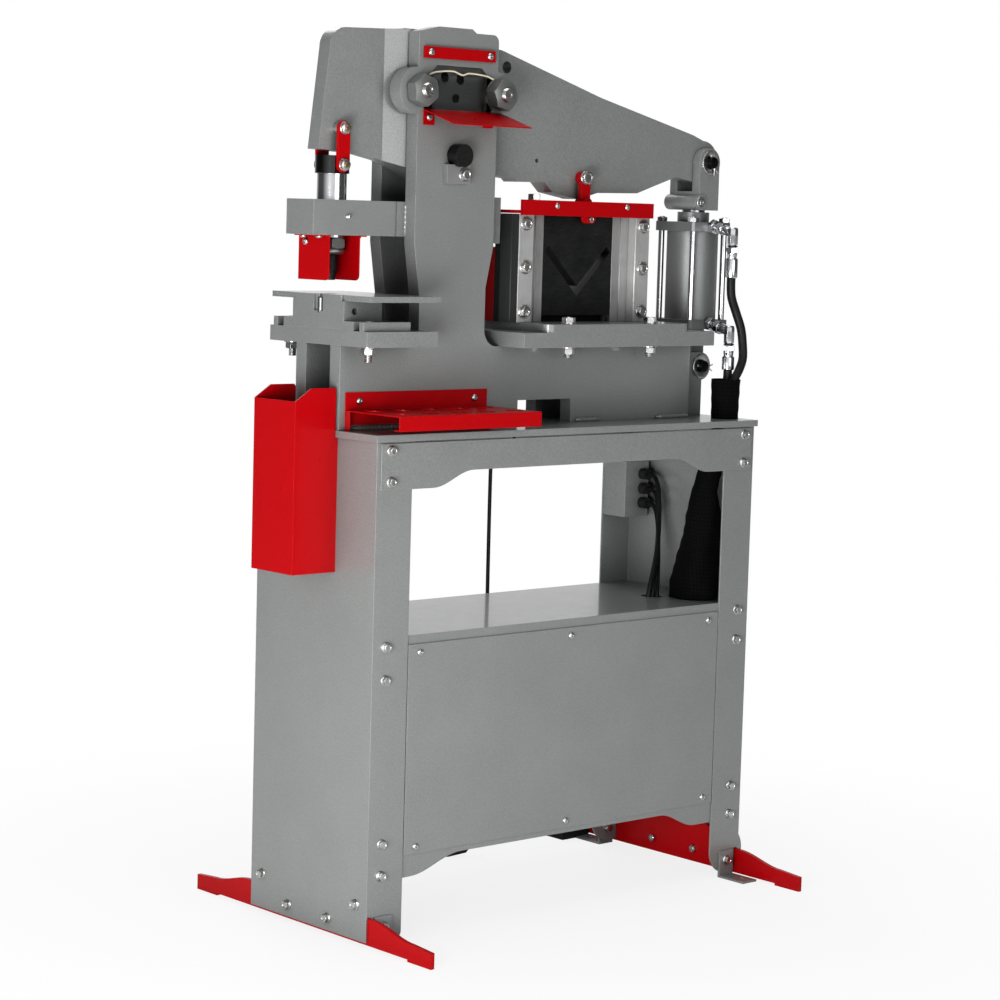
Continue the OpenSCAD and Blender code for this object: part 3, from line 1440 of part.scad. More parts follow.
// Clevis: base on the rod, clamp boss on one side, two cheeks round the beam's end
module rod_clevis() {
  inner = arm_t / 2 + clevis_clear;
  base_w = 2 * (inner + clevis_cheek_t);
  color(paint_grey) translate([cyl_x, 0, 0]) difference() {
    union() {
      block([-clevis_w / 2, -base_w / 2, clevis_z], [clevis_w, base_w, clevis_base_h]);
      both_sides() along_y(-inner - clevis_cheek_t, clevis_cheek_t) {
        translate([-clevis_w / 2, clevis_z]) square([clevis_w, arm_pin_z - clevis_z]);
        translate([0, arm_pin_z]) circle(clevis_r);
      }
      ycyl(-clamp_in, -clamp_l / 2, clevis_z + clamp_d / 2, clamp_d, clamp_l);
    }
    ycyl(0, -base_w, arm_pin_z, cyl_pin_d, 2 * base_w);
  }
}
module washer_pin(x, z, inner) {
  both_sides() ycyl(x, -inner - pin_washer_t, z, pin_washer_d, pin_washer_t);
  ycyl(x, -inner - pin_washer_t - pin_tail, z, cyl_pin_d, 2 * (inner + pin_washer_t + pin_tail));
}
module clevis_pin() { color(zinc) washer_pin(cyl_x, arm_pin_z, arm_t / 2 + clevis_clear + clevis_cheek_t); }
module anchor_pin() { color(zinc) washer_pin(cyl_x, anchor_z, plate_y); }

// Port fittings: sloping nipple, elbow, ferrule
module port_fittings() {
  color(zinc) for (i = [0, 1]) {
    z = port_z[i] - port_drop;
    difference() {
      translate([cyl_x, -cap_w / 2, port_z[i]]) rotate([90 + atan(port_drop / port_l), 0, 0])
        translate([0, 0, -port_d]) cylinder(d = port_d, h = port_l + port_d);
      block([cyl_x - port_d, -cap_w / 2, port_z[i] - 2 * port_d], [2 * port_d, 2 * port_d, 4 * port_d]);
    }
    translate([cyl_x, port_y, z]) sphere(d = elbow_d);
    zcyl(cyl_x, port_y, z - elbow_h, port_d, elbow_h);
    zcyl(cyl_x, port_y, z - elbow_h - ferrule_l[i], ferrule_d, ferrule_l[i]);
  }
}
module cylinder_hoses() {
  color(dark) {
    even_tube(pressure_route, hose_d, hose_sides);
    even_tube(return_route, hose_d, hose_sides);
  }
}
module hose_sleeve() {
  color(dark) difference() {
    tube(sleeve_route, sleeve_r, hose_sides + 2);
    zcyl(sleeve_route[0][0], sleeve_route[0][1], sleeve_mouth_z - mouth_deep, mouth_d, mouth_deep + cut);
  }
}

// Power unit behind the access panel
module oil_tank() {
  z = skirt_top_z + pan_t;
  color(paint_grey) {
    block([tank_x, -tank_w / 2, z], [tank_l, tank_w, tank_h]);
    block([tank_x - tank_lid_t, -tank_w / 2 - tank_lid_t, z + tank_h], [tank_l + 2 * tank_lid_t,
      tank_w + 2 * tank_lid_t, tank_lid_t]);
    zcyl(tank_x + filler_d, 0, z + tank_h + tank_lid_t, filler_d, filler_h);
  }
}
function motor_axis_z() = skirt_top_z + pan_t + motor_foot_t + motor_d / 2;
module pump_motor() {
  z = skirt_top_z + pan_t;
  color(dark) {
    xcyl(motor_x, 0, motor_axis_z(), motor_d, motor_l);
    block([motor_x + motor_l / 2 - motor_foot_l / 2, -motor_foot_w / 2, z], [motor_foot_l, motor_foot_w,
      motor_foot_t + motor_foot_rise]);
    block([cable_hole_x - terminal_l / 2, cable_hole_y - terminal_w / 2, motor_axis_z()],
      [terminal_l, terminal_w, motor_d / 2 + terminal_h]);
  }
}
module hydraulic_pump() {
  tank_end = tank_x + tank_l;
  color(steel) {
    xcyl(tank_end, 0, motor_axis_z(), pump_hub_d, motor_x - tank_end);
    xcyl(motor_x - valve_l, 0, motor_axis_z(), pump_d, valve_l);
    block([motor_x - valve_l, -valve_h / 2, motor_axis_z()], [valve_l - cut, valve_h,
      pump_d / 2 + valve_h / 2]);
  }
}

// Control box on the inside of the right leg's rear flange
module control_box() {
  color(dark) block([box_x, half_d - sheet_t - box_d, box_z], [box_l, box_d, box_h]);
}
module cable_glands() {
  face = half_d - sheet_t - box_d;
  color(dark) {
    for (z = gland_rows) ycyl(box_x + gland_in, face - gland_l, box_z + z, gland_nut_d, gland_l);
    ycyl(cord_x, half_d - 2 * sheet_t, cord_z, cord_gland_d / 2, sheet_t);
    ycyl(cord_x, half_d - sheet_t, cord_z, cord_gland_d, cord_gland_l);
  }
}
module motor_cables() { color(dark) for (p = cable_routes) even_tube(p, cable_d, cable_sides); }
module pedal_cord() { color(dark) even_tube(cord_route, cord_d, cable_sides); }

// Foot pedal on the floor behind the stand, hinged at its back
module pedal_base() {
  x0 = pedal_x - pedal_w / 2;
  y0 = pedal_y - pedal_l / 2;
  color(dark) difference() {
    union() {
      block([x0, y0, 0], [pedal_w, pedal_l, pedal_base_t]);
      for (x = [x0, x0 + pedal_w - pedal_side_t]) block([x, y0, 0], [pedal_side_t, pedal_l, pedal_side_h]);
      block([x0, y0, 0], [pedal_w, pedal_side_t, pedal_wall_h]);
    }
    xcyl(x0 - cut, y0 + pedal_pin_in, pedal_pin_z, pedal_pin_d + 2 * run_fit, pedal_w + 2 * cut);
  }
}
module pedal_treadle() {
  x0 = pedal_x - pedal_w / 2;
  y0 = pedal_y - pedal_l / 2 + pedal_pin_in;
  inner = pedal_side_t + treadle_gap;
  color(dark) {
    xcyl(x0, y0, pedal_pin_z, pedal_pin_d, pedal_w);
    translate([x0 + inner, y0, pedal_pin_z]) rotate([treadle_tilt, 0, 0])
      translate([0, 0, -treadle_t / 2]) cube([pedal_w - 2 * inner, pedal_l - pedal_pin_in + treadle_over,
        treadle_t]);
  }
}

// Tray: perforated top, back plate on the frame, front lip folded under
module tool_tray() {
  y1 = -plate_out_y;
  y0 = y1 - tray_d;
  step_x = tray_l / tray_cols;
  step_y = tray_d / tray_rows;
  color(paint_red) difference() {
    union() {
      block([tray_x, y0, tray_z - red_t], [tray_l, tray_d, red_t]);
      block([tray_x, y1 - red_t, tray_z - tray_lip_h], [tray_l, red_t, tray_back_h + tray_lip_h]);
      block([tray_x, y0, tray_z - tray_lip_h], [tray_l, red_t, tray_lip_h]);
      block([tray_x, y0, tray_z - tray_lip_h], [tray_l, tray_lip_in, red_t]);
      for (x = [tray_x, tray_x + tray_l - red_t]) block([x, y1 - tray_lip_in, top_z], [red_t,
        tray_lip_in, tray_z - top_z]);
    }
    for (p = tray_places()) ycyl(p[0], y1 - red_t - cut, p[1], screw_d + 2 * bolt_gap, red_t + 2 * cut);
    for (i = [0:tray_cols - 1], j = [0:tray_rows - 1])
      zcyl(tray_x + step_x * (i + 1 / 2), y0 + step_y * (j + 1 / 2), tray_z - red_t - cut, tray_hole_d,
        red_t + 2 * cut);
  }
}
// Bin: open box on the left leg, its side walls rising past the outer wall
module slug_bin() {
  out = -half_l - bin_d;
  z1 = bin_low_z + bin_h;
  color(paint_red) difference() {
    union() {
      block([out, -bin_w / 2, bin_low_z], [bin_d, bin_w, red_t]);
      block([out, -bin_w / 2, bin_low_z], [red_t, bin_w, bin_h]);
      block([-half_l - red_t, -bin_w / 2, bin_low_z], [red_t, bin_w, table_z - cut - bin_low_z]);
      both_sides() along_y(-bin_w / 2, red_t) polygon([[out, bin_low_z], [out, z1],
        [out + bin_d * bin_tab_shares[0], z1 + bin_tab_h], [out + bin_d * bin_tab_shares[1],
          z1 + bin_tab_h],
        [-half_l, z1 + bin_tab_h / 2], [-half_l, bin_low_z]]);
    }
    block([-half_l - bin_table_gap, -bin_w, table_z - cut], [bin_table_gap + cut, 2 * bin_w, bin_h]);
  }
}

left_leg();
right_leg();
cross_rails();
shelf();
cover_panels();
base_pan();
table_plate();
feet();
floor_brackets();
hex_bolts();
button_screws();
oil_tank();
pump_motor();
hydraulic_pump();
control_box();
cable_glands();
motor_cables();
pedal_cord();
pedal_base();
pedal_treadle();
front_frame_plate();
rear_frame_plate();
punch_guide_block();
frame_spacers();
pivot_pin();
pin_keeper();
tie_bolts();
beam();
pivot_bush();
fixed_rod_blade();
moving_rod_blade();
rod_guard();
guard_brackets();
punch_ram();
ram_links();
link_top_pin();
link_low_pin();
punch_nut();
punch();
punch_guard();
die_bolster();
die_block();
die();
work_table();
shear_bed();
shear_housing();
shear_blade();
shear_yoke();
shear_link();
cylinder_body();
tie_rods();
piston_rod();
rod_clevis();
clevis_pin();
anchor_pin();
port_fittings();
cylinder_hoses();
hose_sleeve();
tool_tray();
slug_bin();
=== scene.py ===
import math
import bmesh
import bpy
from mathutils import Matrix, Vector


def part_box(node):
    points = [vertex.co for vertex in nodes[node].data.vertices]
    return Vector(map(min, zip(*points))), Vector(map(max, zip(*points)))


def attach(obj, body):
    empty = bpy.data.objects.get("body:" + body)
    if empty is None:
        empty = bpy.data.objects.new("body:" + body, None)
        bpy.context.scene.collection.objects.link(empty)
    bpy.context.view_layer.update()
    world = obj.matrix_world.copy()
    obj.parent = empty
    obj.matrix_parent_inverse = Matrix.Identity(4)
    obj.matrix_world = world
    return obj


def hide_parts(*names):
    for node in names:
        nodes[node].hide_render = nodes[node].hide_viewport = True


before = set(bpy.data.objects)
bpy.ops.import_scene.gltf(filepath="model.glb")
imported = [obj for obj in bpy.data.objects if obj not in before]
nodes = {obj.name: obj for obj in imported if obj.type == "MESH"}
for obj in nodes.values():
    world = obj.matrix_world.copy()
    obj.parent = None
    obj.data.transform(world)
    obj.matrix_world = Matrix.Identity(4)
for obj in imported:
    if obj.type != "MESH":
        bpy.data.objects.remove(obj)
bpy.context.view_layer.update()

scene = bpy.context.scene
MM = 0.001
UP = (0, 0, 1)
BACK = (0, 1, 0)
FRONT = (0, -1, 0)

# Places shared with the CAD model, in millimetres
HALF_L = 467.0
HALF_D = 167.0
TOP_Z = 892.0
PLATE_OUT = 62.0
COL_LEFT = -309.0
COL_RIGHT = -124.0
EAR_Z = 1483.0
PIVOT_X = -219.0
RAM_X = -447.0
GUIDE_Z = 1228.0
SHEAR_X = 118.0
HOUSE_Z = 1076.0
HOUSE_H = 198.0
CYL_X = 450.0
BLADE_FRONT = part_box("fixed_rod_blade")[0][1] / MM

# Camera at the photograph's viewing angle: degrees, metres, and millimetres for the lens
CAM_YAW = 41.76
CAM_PITCH = -5.99
CAM_ROLL = 1.65
CAM_AT = (-3.3764, -3.7425, 1.2710)
CAM_LENS = 97.81
CAM_SENSOR = 36.0
CAM_FAR = 60.0


def add_camera():
    yaw = math.radians(CAM_YAW)
    pitch = math.radians(CAM_PITCH)
    roll = math.radians(CAM_ROLL)
    ahead = Vector((math.sin(yaw) * math.cos(pitch), math.cos(yaw) * math.cos(pitch), math.sin(pitch)))
    level = Vector((math.cos(yaw), -math.sin(yaw), 0))
    up = level.cross(ahead)
    right = level * math.cos(roll) + up * math.sin(roll)
    top = up * math.cos(roll) - level * math.sin(roll)
    data = bpy.data.cameras.new("camera")
    data.sensor_width = CAM_SENSOR
    data.lens = CAM_LENS
    data.clip_end = CAM_FAR
    cam = bpy.data.objects.new("camera", data)
    cam.matrix_world = Matrix((
        (right.x, top.x, -ahead.x, CAM_AT[0]),
        (right.y, top.y, -ahead.y, CAM_AT[1]),
        (right.z, top.z, -ahead.z, CAM_AT[2]),
        (0, 0, 0, 1)))
    scene.collection.objects.link(cam)
    scene.camera = cam


# Numbers that the materials share
MIX_COLOURS = (6, 7)
MIX_RESULT = 2
EDGE_SAMPLES = 6
FLAT_DOT = 1.0
EDGE_DOT = 0.75
# Where the painted shade in hollows is full, and where it fades out
HOLLOW_SHADE_FULL = 0.05
HOLLOW_SHADE_NONE = 0.7
NOISE_LOW = 0.3
NOISE_HIGH = 0.7


# A material with helpers for its nodes
class Mat:
    def __init__(self, name, **values):
        self.mat = bpy.data.materials.new(name)
        self.mat.use_nodes = True
        self.tree = self.mat.node_tree
        self.tree.nodes.clear()
        self.out = self.node("ShaderNodeOutputMaterial")
        self.bsdf = self.node("ShaderNodeBsdfPrincipled")
        self.link(self.bsdf.outputs[0], self.out.inputs[0])
        for key, value in values.items():
            self.bsdf.inputs[key.replace("_", " ")].default_value = value
        self.coord = self.node("ShaderNodeTexCoord")

    def node(self, kind, **props):
        n = self.tree.nodes.new(kind)
        for key, value in props.items():
            setattr(n, key, value)
        return n

    def link(self, a, b):
        self.tree.links.new(a, b)

    def scaled(self, scale):
        n = self.node("ShaderNodeMapping")
        n.inputs["Scale"].default_value = scale
        self.link(self.coord.outputs["Object"], n.inputs["Vector"])
        return n.outputs[0]

    def noise(self, scale, detail=3.0, rough=0.6, stretch=None):
        n = self.node("ShaderNodeTexNoise")
        n.inputs["Scale"].default_value = scale
        n.inputs["Detail"].default_value = detail
        n.inputs["Roughness"].default_value = rough
        place = self.scaled(stretch) if stretch else self.coord.outputs["Object"]
        self.link(place, n.inputs["Vector"])
        return n.outputs["Fac"]

    def ramp(self, fac, stops):
        n = self.node("ShaderNodeValToRGB")
        ends = n.color_ramp.elements
        while len(ends) < len(stops):
            ends.new(0.5)
        for e, (at, colour) in zip(ends, stops):
            e.position = at
            e.color = (colour[0], colour[1], colour[2], 1.0)
        self.link(fac, n.inputs["Fac"])
        return n.outputs["Color"]

    def math(self, op, a, b):
        n = self.node("ShaderNodeMath", operation=op)
        for i, v in enumerate((a, b)):
            if isinstance(v, (int, float)):
                n.inputs[i].default_value = v
            else:
                self.link(v, n.inputs[i])
        return n.outputs[0]

    # Sum of two values, the first by its share and the second by the rest
    def blend(self, a, share, b):
        return self.math("ADD", self.math("MULTIPLY", a, share), self.math("MULTIPLY", b, 1.0 - share))

    def span(self, fac, low, high):
        n = self.node("ShaderNodeMapRange")
        n.inputs["To Min"].default_value = low
        n.inputs["To Max"].default_value = high
        self.link(fac, n.inputs["Value"])
        return n.outputs[0]

    def mix(self, fac, a, b, blend="MIX"):
        n = self.node("ShaderNodeMix", data_type="RGBA", blend_type=blend)
        if isinstance(fac, float):
            n.inputs[0].default_value = fac
        else:
            self.link(fac, n.inputs[0])
        for slot, v in zip(MIX_COLOURS, (a, b)):
            if isinstance(v, tuple):
                n.inputs[slot].default_value = (v[0], v[1], v[2], 1.0)
            else:
                self.link(v, n.inputs[slot])
        return n.outputs[MIX_RESULT]

    def soft_edges(self, radius):
        n = self.node("ShaderNodeBevel", samples=EDGE_SAMPLES)
        n.inputs["Radius"].default_value = radius * MM
        return n.outputs[0]

    # A mask along the edges, where the rounded and the flat normal differ
    def edge_mask(self, soft, gain):
        g = self.node("ShaderNodeNewGeometry")
        d = self.node("ShaderNodeVectorMath", operation="DOT_PRODUCT")
        self.link(soft, d.inputs[0])
        self.link(g.outputs["Normal"], d.inputs[1])
        n = self.node("ShaderNodeMapRange")
        n.inputs["From Min"].default_value = FLAT_DOT
        n.inputs["From Max"].default_value = EDGE_DOT
        n.inputs["To Max"].default_value = gain
        self.link(d.outputs["Value"], n.inputs["Value"])
        return n.outputs[0]

    # Painted shade: the colour darkened where surfaces stand close together, down to the floor share at full
    # shade
    def painted_hollow_shade(self, shade, floor, reach=0.14):
        n = self.node("ShaderNodeAmbientOcclusion", samples=EDGE_SAMPLES)
        n.inputs["Distance"].default_value = reach
        stops = [(HOLLOW_SHADE_FULL, (floor, floor, floor)), (HOLLOW_SHADE_NONE, (1.0, 1.0, 1.0))]
        shade_veil = self.ramp(n.outputs["AO"], stops)
        return self.mix(1.0, shade, shade_veil, "MULTIPLY")

    # One beyond a place along an axis, or short of it where the axis has a minus, and else zero
    def beyond(self, axis, place):
        split = self.node("ShaderNodeSeparateXYZ")
        self.link(self.coord.outputs["Object"], split.inputs[0])
        test = "LESS_THAN" if axis[0] == "-" else "GREATER_THAN"
        return self.math(test, split.outputs[axis[-1]], place * MM)

    def bump(self, height, strength, distance, normal=None):
        n = self.node("ShaderNodeBump")
        n.inputs["Strength"].default_value = strength
        n.inputs["Distance"].default_value = distance * MM
        self.link(height, n.inputs["Height"])
        if normal is not None:
            self.link(normal, n.inputs["Normal"])
        return n.outputs[0]

    def colour(self, value):
        self.link(value, self.bsdf.inputs["Base Color"])

    def rough(self, value):
        self.link(value, self.bsdf.inputs["Roughness"])

    def normal(self, value):
        self.link(value, self.bsdf.inputs["Normal"])


# Paint with a fine texture, cloudy shade, lighter edges and painted shade where surfaces stand close
def paint(name, dark, light, edge, rough, radius, grain=420.0, floor=0.22, **values):
    m = Mat(name, **values)
    soft = m.soft_edges(radius)
    cloud = m.noise(scale=7.0)
    fleck = m.noise(scale=grain, detail=2.0, rough=0.7)
    both = m.blend(cloud, 0.2, fleck)
    shade = m.ramp(both, [(NOISE_LOW, dark), (NOISE_HIGH, light)])
    patches = m.noise(scale=60.0, detail=2.0)
    worn = m.math("MULTIPLY", m.edge_mask(soft, gain=0.75), patches)
    # Painted shade darkens the colour where surfaces stand close
    m.colour(m.painted_hollow_shade(m.mix(worn, shade, edge), floor))
    m.rough(m.span(m.noise(scale=40.0), rough[0], rough[1]))
    m.normal(m.bump(fleck, strength=0.18, distance=0.35, normal=soft))
    return m.mat


# Bare or plated metal with a drawn grain and painted shade in hollows, its colour changed past a given place
def metal(name, dark, light, rough, stretch, radius=0.8, scratch=0.06, past=None, floor=0.2, reach=0.08,
          metallic=1.0):
    m = Mat(name, Metallic=metallic)
    soft = m.soft_edges(radius)
    grain = m.noise(scale=1.0, rough=0.65, stretch=stretch)
    cloud = m.noise(scale=28.0)
    both = m.blend(grain, 0.5, cloud)
    shade = m.ramp(both, [(NOISE_LOW, dark), (NOISE_HIGH, light)])
    if past:
        axis, place, far_shade = past
        shade = m.mix(m.beyond(axis, place), shade, far_shade)
    # Painted shade darkens the colour where surfaces stand close
    m.colour(m.painted_hollow_shade(shade, floor, reach))
    m.rough(m.span(both, rough[0], rough[1]))
    m.normal(m.bump(grain, strength=scratch, distance=0.1, normal=soft))
    return m.mat


# Moulded plastic or rubber
def moulded(name, dark, light, rough, radius, grain, depth, **values):
    m = Mat(name, **values)
    soft = m.soft_edges(radius)
    fine = m.noise(scale=grain, detail=2.0)
    cloud = m.noise(scale=12.0)
    m.colour(m.ramp(cloud, [(NOISE_LOW, dark), (0.72, light)]))
    m.rough(m.span(fine, rough[0], rough[1]))
    m.normal(m.bump(fine, strength=0.25, distance=depth, normal=soft))
    return m.mat


# Woven nylon, its weave following the tube's own coordinates
def woven(name, threads, gap, light, shade):
    m = Mat(name, Roughness=0.8, Specular_IOR_Level=0.03, Sheen_Weight=0.005, Sheen_Roughness=0.5)
    waves = []
    for turn in (0.0, math.pi / 2):
        n = m.node("ShaderNodeTexWave", wave_type="BANDS", bands_direction="X")
        n.inputs["Scale"].default_value = 1.0
        n.inputs["Distortion"].default_value = 0.6
        n.inputs["Detail"].default_value = 1.0
        p = m.node("ShaderNodeMapping")
        p.inputs["Rotation"].default_value = (0, 0, turn)
        p.inputs["Scale"].default_value = (threads, threads, 1.0)
        m.link(m.coord.outputs["UV"], p.inputs["Vector"])
        m.link(p.outputs[0], n.inputs["Vector"])
        waves.append(n.outputs["Fac"])
    weave = m.math("MULTIPLY", waves[0], waves[1])
    cloud = m.noise(scale=9.0)
    m.colour(m.mix(cloud, m.ramp(weave, [(0.0, gap), (0.8, light)]), shade))
    m.normal(m.bump(weave, strength=0.35, distance=0.4))
    return m.mat


# Clear plastic sheet with a faint haze
def clear_sheet(name, dark, light, rough):
    m = Mat(name, IOR=1.16, Transmission_Weight=1.0)
    haze = m.noise(scale=30.0)
    m.colour(m.ramp(haze, [(NOISE_LOW, dark), (NOISE_HIGH, light)]))
    m.rough(m.span(m.noise(scale=90.0, detail=2.0), rough[0], rough[1]))
    return m.mat


# Grains drawn along z, worn paint, and colour changes: painted shadow, the ram's own darker collar, painted
# shade
GROUND = (900.0, 900.0, 18.0)
POLISHED = (900.0, 900.0, 40.0)
WORN_GREY = (0.42, 0.43, 0.42)
# Painted shadow: the left side of the shear's columns and gibs made dark, where the frame shades it
SHEAR_SIDE_SHADOW = ("-X", SHEAR_X - 166.5, (0.045, 0.047, 0.047))
RAM_COLLAR = ("Z", 1334.0, (0.05, 0.052, 0.053))
# Painted shade: the rod blades black in their holes and behind their front face
BLADE_HOLE_SHADE = ("Y", BLADE_FRONT + 0.6, (0.012, 0.012, 0.012))

# Materials, with sizes in millimetres
GREY = paint("grey_paint", dark=(0.165, 0.174, 0.170), light=(0.255, 0.265, 0.260), edge=WORN_GREY,
             rough=(0.38, 0.50), radius=1.4, Metallic=0.2, Coat_Weight=0.6, Coat_Roughness=0.1)
RED = paint("red_paint", dark=(0.33, 0.0006, 0.002), light=(0.39, 0.0009, 0.003), edge=(0.55, 0.015, 0.015),
            rough=(0.24, 0.36), radius=1.0, floor=0.6, Specular_IOR_Level=0.06,
            Coat_Weight=0.08, Coat_Roughness=0.15)
ZINC = metal("zinc_plate", dark=(0.50, 0.50, 0.49), light=(0.70, 0.70, 0.685), rough=(0.20, 0.36),
             radius=0.5, stretch=(300.0,) * 3)
STEEL = metal("ground_steel", dark=(0.21, 0.21, 0.21), light=(0.33, 0.33, 0.326), rough=(0.30, 0.44),
              stretch=GROUND, scratch=0.10)
GIB = metal("gib_steel", dark=(0.42, 0.42, 0.42), light=(0.58, 0.58, 0.575), rough=(0.28, 0.42),
            stretch=GROUND, scratch=0.10, past=SHEAR_SIDE_SHADOW, floor=0.5, metallic=0.5)
# Painted shade: a darker copy of the gib steel for the columns set back behind the gibs
SHADED_COLUMN = metal("column_steel_shaded", dark=(0.28, 0.28, 0.28), light=(0.42, 0.42, 0.417), rough=(0.28, 0.42),
               stretch=GROUND, scratch=0.10, past=SHEAR_SIDE_SHADOW, floor=0.5, metallic=0.5)
KEEPER = metal("keeper_steel", dark=(0.24, 0.24, 0.24), light=(0.36, 0.36, 0.357), rough=(0.30, 0.44),
               stretch=(600.0,) * 3, scratch=0.08, floor=0.5, metallic=0.5)
BLACK = metal("black_oxide", dark=(0.016, 0.017, 0.017), light=(0.042, 0.043, 0.043), rough=(0.50, 0.68),
              stretch=(60.0, 60.0, 500.0))
CHROME = metal("hard_chrome", dark=(0.60, 0.61, 0.63), light=(0.74, 0.75, 0.77), rough=(0.08, 0.16),
               radius=0.6, stretch=POLISHED, scratch=0.02)
RAM = metal("ram_chrome", dark=(0.52, 0.53, 0.55), light=(0.66, 0.67, 0.69), rough=(0.10, 0.18), radius=0.6,
            stretch=POLISHED, scratch=0.02, past=RAM_COLLAR)
BRONZE = metal("bronze", dark=(0.38, 0.20, 0.06), light=(0.52, 0.31, 0.11), rough=(0.28, 0.42), radius=0.6,
               stretch=(400.0,) * 3)
NUTS = paint("grey_nuts", dark=(0.14, 0.147, 0.144), light=(0.20, 0.208, 0.204), edge=WORN_GREY,
             rough=(0.28, 0.40), radius=0.9, grain=500.0, Metallic=0.5)
# Rod blades, with strong painted shade close inside their holes
DARK = metal("dark_blade", dark=(0.15, 0.154, 0.154), light=(0.23, 0.235, 0.235), rough=(0.34, 0.5),
             radius=0.6, stretch=(40.0, 900.0, 900.0), scratch=0.08, past=BLADE_HOLE_SHADE, floor=0.02,
             reach=0.014)
BRIGHT = paint("satin_barrel", dark=(0.18, 0.185, 0.185), light=(0.25, 0.256, 0.256),
               edge=(0.42, 0.42, 0.42), rough=(0.40, 0.50), radius=0.8, grain=600.0, Metallic=0.6)
PLASTIC = moulded("black_plastic", dark=(0.006, 0.006, 0.007), light=(0.014, 0.014, 0.015),
                  rough=(0.42, 0.60), radius=0.8, grain=700.0, depth=0.2, Specular_IOR_Level=0.12)
RUBBER = moulded("hose_rubber", dark=(0.004, 0.004, 0.005), light=(0.011, 0.011, 0.012), rough=(0.34, 0.50),
                 radius=0.3, grain=900.0, depth=0.12, Specular_IOR_Level=0.14)
TANK = moulded("tank_plastic", dark=(0.07, 0.075, 0.075), light=(0.11, 0.115, 0.115), rough=(0.45, 0.6),
               radius=2.0, grain=400.0, depth=0.25)
ALLOY = paint("motor_casting", dark=(0.13, 0.14, 0.14), light=(0.20, 0.205, 0.205), edge=(0.4, 0.4, 0.4),
              rough=(0.45, 0.6), radius=1.6, grain=300.0)
IVORY = moulded("ivory_trim", dark=(0.66, 0.60, 0.42), light=(0.78, 0.73, 0.56), rough=(0.4, 0.55),
                radius=0.4, grain=500.0, depth=0.1)
CLEAR = clear_sheet("clear_sheet", dark=(0.86, 0.88, 0.88), light=(0.92, 0.93, 0.93), rough=(0.02, 0.09))
WOVEN = woven("woven_sleeve", threads=42.0, gap=(0.001, 0.001, 0.0012), light=(0.005, 0.005, 0.0055),
              shade=(0.002, 0.002, 0.0022))

NODE_MATS = {
    GREY: ["left_leg", "right_leg", "cross_rails", "shelf", "cover_panels", "base_pan", "table_plate",
           "front_frame_plate", "rear_frame_plate", "punch_guide_block", "frame_spacers", "beam",
           "die_bolster", "die_block", "work_table", "shear_bed", "control_box", "rod_clevis",
           "floor_brackets"],
    RED: ["feet", "guard_brackets", "ram_links", "punch_guard", "shear_yoke", "shear_link", "tool_tray",
          "slug_bin"],
    ZINC: ["hex_bolts", "button_screws", "tie_bolts", "link_top_pin", "link_low_pin", "clevis_pin",
           "anchor_pin", "port_fittings", "tie_rods"],
    KEEPER: ["pin_keeper"],
    DARK: ["fixed_rod_blade", "moving_rod_blade"],
    STEEL: ["die", "punch_nut", "hydraulic_pump", "shear_housing"],
    BLACK: ["pivot_pin", "punch", "shear_blade"],
    CHROME: ["piston_rod"],
    RAM: ["punch_ram"],
    BRONZE: ["pivot_bush"],
    BRIGHT: ["cylinder_body"],
    CLEAR: ["rod_guard"],
    PLASTIC: ["pedal_base", "pedal_treadle", "cable_glands"],
    TANK: ["oil_tank"],
    ALLOY: ["pump_motor"],
    RUBBER: ["motor_cables", "pedal_cord", "cylinder_hoses"],
    WOVEN: ["hose_sleeve"],
}


def dress_nodes():
    for mat, names in NODE_MATS.items():
        for name in names:
            slots = nodes[name].material_slots
            if not slots:
                nodes[name].data.materials.append(mat)
            for s in slots:
                s.material = mat


# A place with z along an axis, turned about that axis
def aim(at, axis, turn=0.0):
    q = Vector(UP).rotation_difference(Vector(axis))
    return Matrix.Translation(Vector(at)) @ q.to_matrix().to_4x4() @ Matrix.Rotation(turn, 4, "Z")


def circle(r, z, sides):
    angles = [2 * math.pi * k / sides for k in range(sides)]
    return [(r * math.cos(a), r * math.sin(a), z) for a in angles]


# Shares of a hexagon's width across flats, and of a thread's radius and pitch
HEX_TURNED = 0.48
HEX_SLOPE = 0.62
DISH_RIM = 0.74
DISH_FLOOR = 0.66
THREAD_ROOT = 0.9
THREAD_CREST = 0.45


